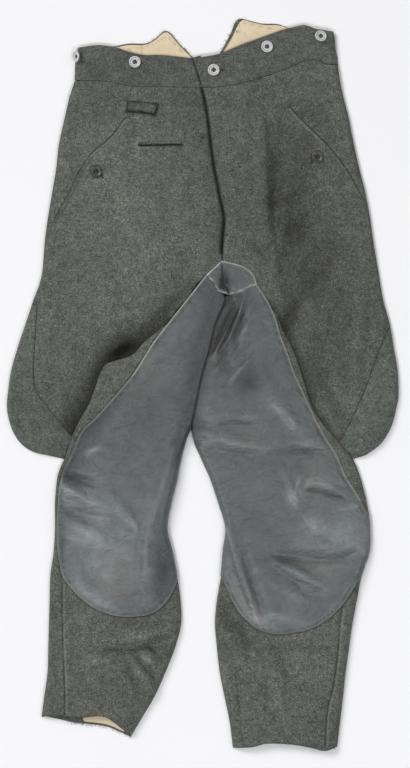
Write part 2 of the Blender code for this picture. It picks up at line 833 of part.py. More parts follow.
leg_right_loop = join(
    above_right,
    fold_right,
    out_right,
    smooth(HEM_RIGHT),
    in_right[::-1],
    inseam[::-1],
    saddle_right[::-1],
)
welt_right = join(smooth(POCKET_RIGHT), shifted(smooth(POCKET_RIGHT), WELT_W)[::-1])
fob_welt = join(smooth(FOB), shifted(smooth(FOB), FOB_W)[::-1])
tab = join(TAB)
insert_right_line = [(-262.0, 126.0)] + smooth(INSERT_RIGHT)
front_right = Cloth(
    front_right_loop,
    [
        insert_right_line,
        smooth(SADDLE_TOP_RIGHT),
        welt_right + welt_right[:1],
        fob_welt + fob_welt[:1],
        tab + tab[:1],
        [q for q, lap in zip(fold_right, lap_right) if lap > 3],
    ],
    [top_side_right],
    front_right_height,
    lambda p: np.full(len(p), FLOOR),
    flats=[(b.x, b.y) for b in BUTTONS if b.carrier == "front_right"],
)
insert_right_side = join(insert_right_line, [(-184, -130), (-330, -130), (-330, 128)])
saddle_right_side = join([(28, 186), (4, 164)], saddle_right, crotch[::-1])
front_right.piece("front_right", "wool", -WOOL, 0, without=[insert_right_side])
front_right.piece("flare_insert_right", "wool_insert", -WOOL, 0, regions=[insert_right_side])
front_right.piece("saddle_leather_right", "leather", GAP, GAP + LEATHER, regions=[saddle_right_side])
front_right.piece("pocket_welt_right", "wool", GAP, GAP + WELT, regions=[welt_right])
front_right.piece("fob_welt_right", "wool", GAP, GAP + WELT, regions=[fob_welt])
front_right.piece("belt_tab_right", "wool", GAP, GAP + WELT + 0.4, regions=[tab])

# Right leg front with its leather.
leg_right = Cloth(
    leg_right_loop,
    [[p for p in edge_right if p[1] < 94.5]],
    [fold_right, out_right, in_right, inseam],
    leg_right_height,
    leg_right_floor,
)
knee_right = join(
    [(4, 164)],
    edge_right,
    [(-20, -286), (60, -180), (60, 60), (45, 138), (30, 138)],
    saddle_right[::-1],
)
leg_right.piece("leg_front_right", "wool", -WOOL, 0)
leg_right.piece("leg_leather_right", "leather", GAP, GAP + LEATHER, regions=[knee_right])

# Left front: hip and flare, its fly edge over the right front.
lap_left = fold_column(FOLD_LEFT, fold_left, "lap")
under_left = fold_column(FOLD_LEFT, fold_left, "under")
flare_edge_left = shifted(fold_left, -lap_left)
front_left_loop = join(
    fly_low[:1],
    [(-1, 446)],
    [p for p in seam_left if p[0] > 2],
    top_side_left,
    flare_edge_left[::-1],
    above_left[::-1],
    saddle_left,
    crotch[::-1],
    fly_low[::-1],
)
hidden = [(x - 5.0, y) for x, y in inseam if -62 < y < 134]
leg_left_loop = join(
    above_left,
    fold_left,
    out_left,
    smooth(HEM_LEFT)[::-1],
    in_left[:0:-1],
    hidden[::-1],
    [(39, 135)],
    saddle_left[::-1],
)


def fly_side(p, z, lift):
    """Rise of the left side where it passes over the right."""
    d, along = near(p, fly)
    top = np.clip((p[:, 1] - 186) / 40, 0, 1)
    return z + lift * top * np.exp(-((d / 34) ** 2))


def front_left_height(p):
    z = fly_side(p, REST + creased(p, CREASES_LEFT), 2.0)
    d, along = near(p, fold_left)
    low = between(along, under_left)
    t = np.clip(d / 16, 0, 1)
    z = np.where(inside(p, leg_left_loop), low, low + (z - low) * t * t * (3 - 2 * t))
    z = np.maximum(z, FLOOR + WOOL + 0.05)
    z = rolled(p, z, fly, FLY_UNDER + 1.5, 5)
    z = sunk(p, z, [(39, 135), (39, 135.1)], 6.4, 16)
    return rolled(p, z, top_side_left, FLOOR)


def front_left_floor(p):
    d, along = near(p, fly)
    over = (d < FLY_UNDERLAP + 8) & (p[:, 1] > 192)
    return np.where(over, FLY_UNDER + GAP + 0.4, FLOOR)


def leg_left_height(p):
    z = REST + 0.4 + creased(p, CREASES_LEFT)
    z = sunk(p, z, hidden, CROTCH_UNDER, 30)
    z = sunk(p, z, [(39, 135), (39, 134)], CROTCH_UNDER, 26)
    z = np.where(inside(p, leg_right_loop), np.minimum(z, CROTCH_UNDER), z)
    z = rolled(p, z, fold_left, np.array(under_left) + 1.0, 7)
    z = rolled(p, z, out_left, FLOOR)
    z = rolled(p, z, in_left, FLOOR)
    return np.maximum(z, FLOOR)


def leg_left_floor(p):
    d, along = near(p, fold_left)
    over = d < between(along, lap_left) + 7
    return np.where(over, between(along, under_left) + 2 * GAP, FLOOR)


welt_left = join(smooth(POCKET_LEFT), shifted(smooth(POCKET_LEFT), -WELT_W)[::-1])
front_left = Cloth(
    front_left_loop,
    [
        smooth(INSERT_LEFT),
        smooth(SADDLE_TOP_LEFT),
        welt_left + welt_left[:1],
        [q for q, lap in zip(fold_left, lap_left) if lap > 3],
    ],
    [top_side_left, fly_low],
    front_left_height,
    front_left_floor,
    flats=[(b.x, b.y) for b in BUTTONS if b.carrier == "front_left"],
)
insert_left_side = join(smooth(INSERT_LEFT), [(193, -130), (330, -130), (330, 90)])
saddle_left_side = join(smooth(SADDLE_TOP_LEFT), saddle_left, crotch[::-1])
front_left.piece("front_left", "wool", -WOOL, 0, without=[insert_left_side])
front_left.piece("flare_insert_left", "wool_insert", -WOOL, 0, regions=[insert_left_side])
front_left.piece("saddle_leather_left", "leather", GAP, GAP + LEATHER, regions=[saddle_left_side])
front_left.piece("pocket_welt_left", "wool", GAP, GAP + WELT, regions=[welt_left])

# Left leg front with its leather.
leg_left = Cloth(
    leg_left_loop,
    [
        [p for p in edge_left if p[1] < 120.5] + [LEATHER_LEFT_MEETS],
        edge_left_end,
        [p for p in inseam if -50 < p[1] < 120],
    ],
    [fold_left, out_left, in_left, hidden],
    leg_left_height,
    leg_left_floor,
)
leg_left.piece("leg_front_left", "wool", -WOOL, 0)
knee_left = join(
    [(81, 150)],
    edge_left,
    [(300, -195), (300, -262)],
    edge_left_end,
    [(-60, -286), (-60, 135), (39, 135)],
    saddle_left[::-1],
)
leg_left.piece("leg_leather_left", "leather", GAP, GAP + LEATHER, regions=[knee_left])

# Waistband: the right half ends under the left half.
band_fly = smooth([(-15, 490), (-6, 464), (-1, 446.5)])
band_right_loop = join(
    [(-192, 488), (-188, 506)],
    smooth([(w.x, w.top) for w in WAIST_RIGHT if w.x < 0]),
    shifted(band_fly, FLY_UNDERLAP),
    [(x, y + 0.5) for x, y in seam_right if x < 2][::-1],
    [(-193, 456.5)],
)
band_left_loop = join(
    band_fly[::-1],
    smooth([(w.x, w.top) for w in WAIST_LEFT])[1:],
    [(198, 520), (201, 490), (203, 481)],
    [(x, y + (0.5 if x < 178 else 1.0)) for x, y in seam_left if 2 < x < 200][::-1],
)


def band_right_height(p):
    z = sunk(p, np.full(len(p), REST), fly, FLY_UNDER, 26)
    z = np.where(past_fly(p), FLY_UNDER, z)
    z = rolled(p, z, [(-188, 506), (-192, 488), (-193, 456)], FLOOR)
    line = [(w.x, w.top) for w in WAIST_RIGHT]
    return rolled(p, z, line, 6.6, 5)


def band_left_height(p):
    z = fly_side(p, np.full(len(p), REST), 2.6)
    z = rolled(p, z, band_fly, FLY_UNDER + 1.8, 4)
    z = rolled(p, z, [(198, 530), (201, 490), (203, 480)], FLOOR)
    line = [(w.x, w.top) for w in WAIST_LEFT]
    return rolled(p, z, line, 6.6, 5)


def band_floor(p):
    lift = np.where(p[:, 1] > 470, FLOOR + LINING + GAP, FLOOR)
    edge = (p[:, 0] < -176) | (p[:, 0] > 188)
    return np.where(edge, FLOOR, lift)


def band_left_floor(p):
    d, along = near(p, fly)
    over = d < FLY_UNDERLAP + 8
    return np.where(over, FLY_UNDER + GAP + 0.3, band_floor(p))


carriers = {"front_right": front_right, "front_left": front_left}
for name, loop, height, floor in (
    ("band_right", band_right_loop, band_right_height, band_floor),
    ("band_left", band_left_loop, band_left_height, band_left_floor),
):
    flats = [(b.x, b.y) for b in BUTTONS if b.carrier == name]
    carriers[name] = Cloth(loop, (), (), height, floor, flats=flats)
    half = "waistband_right" if name == "band_right" else "waistband_left"
    carriers[name].piece(half, "wool", -BAND, 0)

# Buttons.
for b in BUTTONS:
    if b.carrier == "edge":
        z = EDGE_BUTTON_LOW
    else:
        z = carriers[b.carrier].height_at(b.x, b.y) + GAP
    finish = "metal_button" if b.metal else "dark_button"
    button(b.name, b.x, b.y, z, b.lean, b.bearing, finish)
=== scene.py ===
# Riding breeches laid flat on their back, front upwards, waist towards +Y.
# Right and left are the wearer's: the wearer's right is at -X. Tables are in
# millimetres of the plan; meshes are made in metres, moved by CENTRE.

import math
from collections import namedtuple

import bpy
import numpy as np
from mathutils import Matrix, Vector, noise
from mathutils.bvhtree import BVHTree
from mathutils.geometry import delaunay_2d_cdt
from mathutils.kdtree import KDTree


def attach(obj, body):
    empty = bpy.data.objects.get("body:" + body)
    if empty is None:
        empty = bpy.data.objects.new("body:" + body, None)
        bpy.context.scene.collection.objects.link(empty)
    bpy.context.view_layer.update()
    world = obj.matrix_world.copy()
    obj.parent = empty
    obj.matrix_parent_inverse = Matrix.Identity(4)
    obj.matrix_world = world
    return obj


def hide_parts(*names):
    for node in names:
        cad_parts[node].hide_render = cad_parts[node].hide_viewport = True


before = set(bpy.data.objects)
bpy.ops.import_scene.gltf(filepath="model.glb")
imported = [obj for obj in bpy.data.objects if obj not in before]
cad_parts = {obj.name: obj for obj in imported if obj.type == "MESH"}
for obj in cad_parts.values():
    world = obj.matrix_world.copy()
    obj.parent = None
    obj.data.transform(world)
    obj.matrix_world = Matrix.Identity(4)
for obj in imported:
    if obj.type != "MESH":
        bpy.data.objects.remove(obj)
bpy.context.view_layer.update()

# Thicknesses, the air between layers and at seams, the levels at which layers
# rest, how far cloth runs on under its neighbour, and the size of facets.
MM = 0.001
WOOL = 2.2
LEATHER = 1.4
LINING = 1.0
BAND = 2.8
WELT = 1.0
GAP = 0.3
SEAM = 0.16
FLOOR = WOOL + GAP
REST = 8.6
ROLL = 9.0
UNDERLAP = 11.0
FLY_UNDERLAP = 12.0
FLY_UNDER = 6.9
FLY_BOTTOM = 192
FLY_CLEAR = 8
FOLD_CLEAR = 7
CROTCH_UNDER = 5.0
CELL = 4.0
ROW_RISE = 0.866
EDGE_STEP = 4.0
CENTRE = (0.47, 0.29, 0.0)
EDGE_BUTTON_LOW = 1.6

# Flat seat in the cloth under a button, as radii from its middle.
SEAT_RING = 11.5
SEAT_FLAT = 10.5
SEAT_LEVEL = 12.2
SEAT_OUT = 16.5
SEAT_POINTS = 20


def table(kind, *rows):
    """Rows of values under the names of their columns."""
    return [kind(*row) for row in rows]


# Hips and flare: outer edge of each side at a height.
Flank = namedtuple("Flank", "y right left")
FLANKS = table(
    Flank,
    (506, -188, 198),
    (488, -192, 201),
    (470, -192, 204),
    (434, -200, 210),
    (398, -208, 219),
    (362, -216, 226),
    (326, -220, 234),
    (290, -226, 243),
    (254, -232, 250),
    (218, -237, 255),
    (164, -242, 264),
    (128, -254, 270),
    (92, -266, 280),
    (56, -278, 286),
    (20, -288, 292),
    (-16, -293, 293),
    (-34, -294, 290),
    (-52, -291, 286),
    (-70, -285, 279),
    (-88, -273, 267),
    (-100, -255, 252),
    (-106, -230, 242),
    (-111, -208, 225),
)

# Legs below the flare: outer and inner edge of each leg at a height.
Leg = namedtuple("Leg", "y right_out right_in left_in left_out")
LEGS = table(
    Leg,
    (-124, -214, -36, 4, 231),
    (-142, -219, -39, 12, 237),
    (-178, -222, -48, 24, 246),
    (-214, -222, -54, 34, 250),
    (-250, -224, -46, 30, 249),
    (-286, -229, -39, 27, 238),
    (-322, -230, -34, 21, 231),
    (-358, -231, -33, 18, 224),
    (-394, -232, -42, 21, 219),
    (-430, -233, -56, 25, 214),
    (-466, -238, -72, 32, 210),
)

# Inner edge of the right thigh, which lies on the left thigh.
Inseam = namedtuple("Inseam", "y x low")
INSEAM = table(
    Inseam,
    (138, 30, 7.4),
    (124, 32, 7.4),
    (92, 18, 7.4),
    (50, 8, 7.4),
    (15, -2, 7.4),
    (-24, -10, 7.4),
    (-60, -18, 7.0),
    (-84, -26, 3.6),
    (-106, -32, 2.5),
)
LEFT_EMERGES = ((-18, -60), (-12, -88), (-4, -106))

# Fold beside each leg where its front lies over the flare. Columns: place,
# height of the flare's cloth there, and how far the flare runs on beneath.
Fold = namedtuple("Fold", "x y under lap")
FOLD_RIGHT = table(
    Fold,
    (-51, 94, 8.3, 0),
    (-87, 66, 5.4, UNDERLAP),
    (-106, 46, 5.0, UNDERLAP),
    (-135, 36, 5.0, UNDERLAP),
    (-147, 30, 5.0, UNDERLAP),
    (-156, 15, 5.0, UNDERLAP),
    (-162, -3, 5.0, UNDERLAP),
    (-171, -27, 5.0, UNDERLAP),
    (-183, -48, 5.0, UNDERLAP),
    (-194, -70, 5.0, 8),
    (-202, -92, 4.9, 2),
    (-208, -111, 3.6, 0),
)
FOLD_LEFT = table(
    Fold,
    (100, 120, 8.3, 0),
    (111, 104, 6.8, 4),
    (121, 82, 5.2, UNDERLAP),
    (130, 64, 5.0, UNDERLAP),
    (139, 46, 5.0, UNDERLAP),
    (144, 31, 5.0, UNDERLAP),
    (152, 7, 5.0, UNDERLAP),
    (158, -14, 5.0, UNDERLAP),
    (165, -33, 5.0, UNDERLAP),
    (178, -54, 5.0, UNDERLAP),
    (195, -75, 5.0, 8),
    (212, -94, 4.9, 2),
    (225, -111, 3.6, 0),
)

# Waist: height of the band's top edge and of its seam, by place across.
Waist = namedtuple("Waist", "x top seam")
WAIST_RIGHT = table(
    Waist,
    (-188, 506, 456),
    (-158, 510, 456),
    (-132, 507, 453),
    (-111, 500, 448),
    (-88, 495, 447),
    (-60, 495, 447),
    (-16, 490, 446),
    (4, 489, 446),
)
WAIST_LEFT = table(
    Waist,
    (-15, 490, 446),
    (9, 494, 446),
    (27, 498, 447),
    (56, 510, 452),
    (86, 521, 460),
    (117, 532, 471),
    (140, 538, 480),
    (153, 540, 486),
    (171, 534, 487),
    (184, 532, 481),
    (196, 530, 480),
)

# Free edge of the fly on the left front, from the waist down.
Fly = namedtuple("Fly", "y x lap")
FLY = table(
    Fly,
    (490, -15, FLY_UNDERLAP),
    (464, -6, FLY_UNDERLAP),
    (446, -1, FLY_UNDERLAP),
    (426, 4, FLY_UNDERLAP),
    (396, 9, FLY_UNDERLAP),
    (340, 16, FLY_UNDERLAP),
    (312, 21, FLY_UNDERLAP),
    (280, 27, FLY_UNDERLAP),
    (250, 33, 8),
    (214, 30, 0),
    (186, 28, 0),
)
CROTCH = ((28, 186), (32, 153), (39, 135))

# Fishtail of the back waist: its top edge, across.
TAIL_RIGHT = (
    (-187, 503), (-158, 506), (-132, 508), (-111, 512), (-87, 512), (-72, 519), (-54, 531),
    (-34, 510), (-12, 488),
)
TAIL_LEFT = (
    (20, 488), (27, 500), (40, 524), (52, 548), (70, 546), (88, 542), (112, 541), (130, 535),
    (160, 530), (194, 526),
)

# Leg leather: cut edge on the outer side, from the crotch down and round the
# knee to the inseam.
LEATHER_RIGHT = (
    (4, 164), (-17, 137), (-40, 108), (-51, 94), (-74, 64), (-88, 42), (-106, 14), (-135, -20),
    (-160, -48), (-182, -70), (-196, -102), (-211, -134), (-216, -165), (-218, -200),
    (-218, -240), (-211, -284), (-200, -301), (-184, -318), (-164, -333), (-144, -342),
    (-120, -347), (-96, -346), (-78, -343), (-64, -334), (-52, -321), (-42, -302), (-39, -286),
)
LEATHER_LEFT = (
    (81, 150), (92, 134), (100, 120), (109, 98), (116, 74), (127, 46), (137, 17), (148, -6),
    (160, -33), (170, -54), (183, -78), (200, -105), (213, -136), (232, -166), (244, -190),
)
LEATHER_LEFT_END = (
    (243, -268), (237, -285), (226, -304), (213, -324), (196, -343), (176, -358), (156, -367),
    (136, -371), (116, -373), (96, -371), (75, -361), (56, -343), (44, -324), (35, -303),
    (27, -286),
)
LEATHER_LEFT_MEETS = (252.0, -205.0)
SADDLE_SEAM_RIGHT = ((4, 164), (16, 152), (22, 141), (30, 138))
SADDLE_SEAM_LEFT = ((81, 150), (70, 146), (57, 140), (39, 135))
SADDLE_TOP_RIGHT = ((28, 186), (4, 164))
SADDLE_TOP_LEFT = ((28, 186), (46, 182), (61, 177), (75, 166), (81, 150))

# Seams of the flare inserts.
INSERT_RIGHT = ((-248, 120), (-252, 60), (-254, 20), (-248, -12), (-225, -42), (-184, -94))
INSERT_LEFT = ((281, 90), (266, 56), (242, -9), (210, -76), (193, -98))

# Slanted pocket mouths and their welts.
POCKET_RIGHT = ((-117, 400), (-139, 371), (-166, 348), (-182, 326), (-201, 288), (-222, 250))
POCKET_LEFT = ((130, 417), (145, 400), (162, 383), (183, 363), (202, 341), (222, 312), (239, 280))
WELT_W = 6.0
FOB = ((-97, 358), (-65, 359.5), (-32, 360))
FOB_W = 5.0
TAB = ((-113, 425), (-90, 424), (-68, 420), (-72, 405), (-93, 409), (-114, 410))

# Hems.
HEM_RIGHT = (
    (-242, -498), (-231, -495), (-208, -496), (-182, -498), (-154, -496), (-138, -502),
    (-108, -526),
)
HEM_RIGHT_BACK = (
    (-240, -496), (-216, -501), (-202, -504), (-184, -507), (-156, -510), (-138, -514),
    (-108, -528),
)
HEM_LEFT = ((45, -544), (75, -542), (96, -537), (130, -538), (161, -543), (182, -548), (201, -543))
RIGHT_ANKLE = ((-72, -466), (-92, -500), (-108, -527))
LEFT_ANKLE = ((32, -466), (40, -505), (45, -544))

# Largest soft folds: line from one end to the other, bow sideways, half
# width and rise (troughs are negative).
Crease = namedtuple("Crease", "x0 y0 x1 y1 bow width rise")
CREASES_RIGHT = table(
    Crease,
    (-117, 392, -117, 300, 4, 10, -0.8),
    (-60, 430, -30, 250, 8, 16, 0.8),
    (-210, 230, -170, 60, -10, 18, 1.4),
    (-212, -160, -150, -176, 4, 8, 1.7),
    (-212, -213, -135, -242, -4, 8, 1.8),
    (-208, -138, -150, -150, 0, 7, -1.2),
    (-50, -87, -88, -315, -12, 8, 2.0),
    (-140, -166, -95, -228, 10, 8, 1.2),
    (-190, -300, -120, -250, 8, 18, 1.5),
    (-147, -400, -48, -384, 6, 7, -1.8),
    (-116, -402, -70, -432, 4, 7, 1.6),
    (-200, -390, -190, -480, -6, 14, 1.2),
    (-20, 60, -100, -40, 8, 22, 1.2),
)
CREASES_LEFT = table(
    Crease,
    (96, 416, 98, 248, 12, 10, -1.6),
    (141, 270, 135, 142, 0, 9, -2.0),
    (190, 220, 124, 88, -8, 10, -2.4),
    (222, 190, 168, 60, -6, 13, 1.8),
    (262, 190, 238, 8, 4, 8, -1.4),
    (58, 214, 96, 188, 8, 7, -1.6),
    (60, 400, 70, 260, -6, 18, 1.0),
    (148, 44, 214, -88, 8, 6, 2.2),
    (66, 130, 50, 60, 0, 6, -1.4),
    (81, 62, 32, -2, -4, 7, -1.4),
    (123, -38, 150, -72, 0, 10, 1.5),
    (3, -76, 78, -90, 4, 9, 1.6),
    (100, -98, 176, -100, 3, 7, -1.5),
    (150, -150, 222, -164, 3, 9, 2.0),
    (160, -192, 228, -242, 6, 15, 1.6),
    (118, -255, 234, -254, -10, 7, -1.9),
    (123, -278, 180, -302, 4, 8, 1.6),
    (48, -262, 81, -366, 3, 7, 1.7),
    (38, -345, 86, -400, 0, 9, -1.5),
    (88, -382, 130, -476, 4, 9, 1.5),
)

# Buttons: place, lean in degrees towards a bearing, whether of metal, and the
# piece that carries it.
Button = namedtuple("Button", "name x y lean bearing metal carrier")
BUTTONS = table(
    Button,
    ("button_waist_right", -102, 484, 0, 0, True, "band_right"),
    ("button_waist_right_side", -188.4, 492, 58, 180, True, "edge"),
    ("button_waist_left", 96, 507, 0, 0, True, "band_left"),
    ("button_waist_left_side", 176, 522, 22, 60, True, "band_left"),
    ("button_closing", 16, 472, 0, 0, True, "band_left"),
    ("button_pocket_right", -160, 320, 0, 0, False, "front_right"),
    ("button_pocket_left", 171, 342, 0, 0, False, "front_left"),
)

# Lines in the plane.


def smooth(marks, step=EDGE_STEP):
    """A soft curve through marks, with points about a step apart."""
    p = np.array([m[:2] for m in marks], float)
    if len(p) == 2:
        n = max(1, round(math.dist(p[0], p[1]) / step))
        return [tuple(p[0] + (p[1] - p[0]) * i / n) for i in range(n + 1)]
    q = np.vstack([2 * p[0] - p[1], p, 2 * p[-1] - p[-2]])
    fine = []
    for i in range(1, len(q) - 2):
        a, b, c, d = q[i - 1 : i + 3]
        for t in np.linspace(0, 1, 12, endpoint=False):
            lead = 2 * b + (c - a) * t + (2 * a - 5 * b + 4 * c - d) * t * t
            fine.append((lead + (3 * b - a - 3 * c + d) * t**3) / 2)
    fine = np.array(fine + [p[-1]])
    run = np.concatenate([[0], np.cumsum(np.linalg.norm(np.diff(fine, axis=0), axis=1))])
    n = max(2, round(run[-1] / step))
    at = np.linspace(0, run[-1], n + 1)
    x, y = np.interp(at, run, fine[:, 0]), np.interp(at, run, fine[:, 1])
    return list(zip(x.tolist(), y.tolist()))


def join(*lines):
    """One closed loop out of lines that follow each other."""
    loop = []
    for line in lines:
        for p in line:
            if not loop or math.dist(loop[-1], p) > 0.8:
                loop.append((float(p[0]), float(p[1])))
    while math.dist(loop[0], loop[-1]) < 0.8:
        loop.pop()
    return loop


def shifted(line, by):
    """Line moved sideways to its left by an amount for each point."""
    p = np.array(line, float)
    t = np.gradient(p, axis=0)
    t /= np.linalg.norm(t, axis=1)[:, None]
    by = np.broadcast_to(by, len(p))[:, None]
    return [tuple(q) for q in p + np.stack([-t[:, 1], t[:, 0]], axis=1) * by]


def inside(points, loop):
    """Which points lie in a closed loop."""
    x, y = points[:, 0], points[:, 1]
    hit = np.zeros(len(points), bool)
    for (x0, y0), (x1, y1) in zip(loop, loop[1:] + loop[:1]):
        if y0 != y1:
            over = (y0 > y) != (y1 > y)
            hit ^= over & (x < (x1 - x0) * (y - y0) / (y1 - y0) + x0)
    return hit


def near(points, line):
    """Distance from points to a line, and how far along it they lie."""
    line = np.array([q[:2] for q in line], float)
    best = np.full(len(points), 1e9)
    along = np.zeros(len(points))
    for i in range(len(line) - 1):
        a, d = line[i], line[i + 1] - line[i]
        t = np.clip(((points - a) @ d) / max(d @ d, 1e-9), 0, 1)
        dist = np.linalg.norm(points - a - t[:, None] * d, axis=1)
        take = dist < best
        best[take], along[take] = dist[take], (i + t)[take]
    return best, along


def between(along, values):
    """Value of a table's column at a place along its line."""
    return np.interp(along, np.arange(len(values)), values)


# Heights.


def bent(x0, y0, x1, y1, bow):
    """A bowed line between two ends."""
    long = max(math.dist((x0, y0), (x1, y1)), 1e-6)
    nx, ny = -(y1 - y0) / long, (x1 - x0) / long
    line = []
    for i in range(9):
        t = i / 8
        s = 4 * t * (1 - t) * bow
        line.append((x0 + (x1 - x0) * t + nx * s, y0 + (y1 - y0) * t + ny * s))
    return line


def creased(points, creases):
    """Rise of all the folds at the points."""
    rise = np.zeros(len(points))
    for c in creases:
        d, along = near(points, bent(c.x0, c.y0, c.x1, c.y1, c.bow))
        fade = np.sin(np.pi * np.clip(along / 8 * 0.9 + 0.05, 0, 1)) ** 0.7
        rise += c.rise * fade * np.exp(-((d / c.width) ** 2))
    return rise


def rolled(points, z, line, low, width=ROLL):
    """Height brought down in a round to a low edge."""
    d, along = near(points, line)
    low = between(along, low) if np.ndim(low) else np.full(len(points), low)
    t = np.clip(d / width, 0, 1)
    q = np.sqrt(np.clip(1 - (1 - t) ** 2, 0, 1))
    return np.minimum(z, low + np.maximum(z - low, 0.3) * q)


def sunk(points, z, line, low, width):
    """Height eased down towards a line."""
    d, along = near(points, line)
    low = between(along, low) if np.ndim(low) else np.full(len(points), low)
    t = np.clip(d / width, 0, 1)
    return low + (z - low) * t * t * (3 - 2 * t)


# Surfaces and solids.


class Cloth:
    """A faceted surface over a closed outline, from which pieces are cut."""

    def __init__(self, outline, lines, rows, height, floor, flats=(), cell=CELL):
        points = list(outline)
        n = len(points)
        edges = [(i, (i + 1) % n) for i in range(n)]
        for line in lines:
            start = len(points)
            points += [tuple(p[:2]) for p in line]
            edges += [(i, i + 1) for i in range(start, len(points) - 1)]
        fixed = [list(outline) + [outline[0]]] + [[p[:2] for p in line] for line in lines]
        extra = []
        for row, steps in rows:
            for away in steps:
                extra += shifted(row, away) if away else [tuple(p[:2]) for p in row]
        for x, y in flats:
            extra.append((x, y))
            extra += ring(x, y, SEAT_RING, SEAT_POINTS)
        extra = self.clear(np.array(extra).reshape(-1, 2), outline, fixed, 0.7)
        extra = self.apart(extra, 0.8)
        low, high = np.min(outline, axis=0), np.max(outline, axis=0)
        grid, row, y = [], 0, low[1] + cell / 2
        while y < high[1]:
            x = low[0] + (cell / 2 if row % 2 else 0)
            while x < high[0]:
                grid.append((x, y))
                x += cell
            y, row = y + cell * ROW_RISE, row + 1
        grid = self.clear(np.array(grid), outline, fixed, 0.45 * cell)
        if len(extra):
            grid = beyond(grid, search_tree(extra), 0.5 * cell)
        points += [tuple(p) for p in extra] + [tuple(p) for p in grid]
        found = delaunay_2d_cdt([Vector(p) for p in points], edges, [], 0, 1e-3)
        self.xy = np.array([tuple(v) for v in found[0]], float)
        tris = np.array([f for f in found[2] if len(f) == 3])
        mid = self.xy[tris].mean(axis=1)
        tris = tris[inside(mid, outline)]
        a, b, c = (self.xy[tris[:, i]] for i in range(3))
        turn = (b[:, 0] - a[:, 0]) * (c[:, 1] - a[:, 1]) - (b[:, 1] - a[:, 1]) * (c[:, 0] - a[:, 0])
        tris[turn < 0] = tris[turn < 0][:, ::-1]
        self.tris = tris[np.abs(turn) > 1e-3]
        z = height(self.xy)
        for x, y in flats:
            away = np.linalg.norm(self.xy - (x, y), axis=1)
            level = z[away < SEAT_LEVEL].max()
            blend = np.clip((away - SEAT_FLAT) / (SEAT_OUT - SEAT_FLAT), 0, 1)
            z = np.where(away < SEAT_OUT, level + (z - level) * blend, z)
        self.top = np.column_stack([self.xy, z])
        self.floor = floor(self.xy)
        self.normal = self.normals()
        flat = [tuple(map(float, p)) for p in self.top]
        self.tree = BVHTree.FromPolygons(flat, [tuple(map(int, t)) for t in self.tris])

    @staticmethod
    def clear(points, outline, fixed, away):
        """Points inside the outline and clear of the fixed lines."""
        if not len(points):
            return points
        marks = [q for line in fixed for q in dense(line, away * 0.8)]
        return beyond(points[inside(points, outline)], search_tree(marks), away)

    @staticmethod
    def apart(points, away):
        """Points thinned so that no two lie closer than an amount."""
        if not len(points):
            return points
        tree = search_tree(points)
        dropped = np.zeros(len(points), bool)
        for i, p in enumerate(points):
            if not dropped[i]:
                for _, j, _ in tree.find_range((p[0], p[1], 0), away):
                    dropped[j] = dropped[j] or j > i
        return points[~dropped]

    def normals(self):
        """Normal at each point, from the facets around it."""
        n = np.zeros_like(self.top)
        a, b, c = (self.top[self.tris[:, i]] for i in range(3))
        face = np.cross(b - a, c - a)
        for i in range(3):
            np.add.at(n, self.tris[:, i], face)
        long = np.linalg.norm(n, axis=1)[:, None]
        return n / np.where(long > 0, long, 1)

    def at(self, x, y):
        """Height of the surface at a place, or None beside it."""
        hit = self.tree.ray_cast(Vector((x, y, 60)), Vector((0, 0, -1)))[0]
        return None if hit is None else hit.z

    def piece(self, name, finish, inner, outer, regions=(), without=(), marks=(), swell=None):
        """A closed shell over the facets of some regions."""
        mid = self.xy[self.tris].mean(axis=1)
        take = np.ones(len(mid), bool)
        for loop in regions:
            take &= inside(mid, loop)
        for loop in without:
            take &= ~inside(mid, loop)
        tris = self.tris[take]
        used = np.unique(tris)
        back = np.full(len(self.xy), -1)
        back[used] = np.arange(len(used))
        tris = back[tris]
        top, normal = self.top[used], self.normal[used]
        lift = np.full(len(used), float(outer))
        if swell is not None:
            lift = lift + swell(top[:, :2])
        ends = {}
        for a, b, c in tris.tolist():
            for e in ((a, b), (b, c), (c, a)):
                ends[e] = ends.get(e, 0) + 1
        rim = [e for e in ends if (e[1], e[0]) not in ends]
        draw = np.zeros((len(used), 2))
        for a, b in rim:
            d = top[b, :2] - top[a, :2]
            n = np.array([-d[1], d[0]]) / max(np.linalg.norm(d), 1e-9)
            draw[a] += n
            draw[b] += n
        long = np.linalg.norm(draw, axis=1)
        inward = draw / np.where(long > 0, long, 1)[:, None]
        thick = lift - inner
        low, high = top + normal * inner, top + normal * lift[:, None]
        low[:, 2] = np.maximum(low[:, 2], self.floor[used])
        middle = (low + high) / 2
        low[:, :2] += inward * SEAM
        round_off = np.minimum(0.45 * thick, 0.6)[:, None]
        high[:, :2] += inward * (SEAM + 0.35 * round_off)
        rim_points = np.array(sorted({a for a, b in rim} | {b for a, b in rim}))
        edge_of = np.full(len(used), -1)
        edge_of[rim_points] = np.arange(len(rim_points))
        middle = middle[rim_points]
        middle[:, :2] -= inward[rim_points] * 0.05
        high[rim_points] -= normal[rim_points] * round_off[rim_points] * 0.5
        n, m = len(used), 2 * len(used)
        faces = [tuple(t) for t in tris.tolist()]
        faces += [(c + n, b + n, a + n) for a, b, c in tris.tolist()]
        for a, b in rim:
            ma, mb = m + int(edge_of[a]), m + int(edge_of[b])
            faces.append((a, ma, mb, b))
            faces.append((ma, a + n, b + n, mb))
        made = solid(name, np.vstack([high, low, middle]), faces, finish)
        plan = top[:, :2]
        sides = [plan, plan, plan[rim_points]]
        paint(made, np.vstack(sides), marks, [(plan[a], plan[b]) for a, b in rim])
        a, b, c = (top[tris[:, i]] for i in range(3))
        area = float(np.linalg.norm(np.cross(b - a, c - a), axis=1).sum() / 2)
        across, along = (plan.max(axis=0) - plan.min(axis=0)).tolist()
        made["flat_mm"] = (across, along, area)
        return made


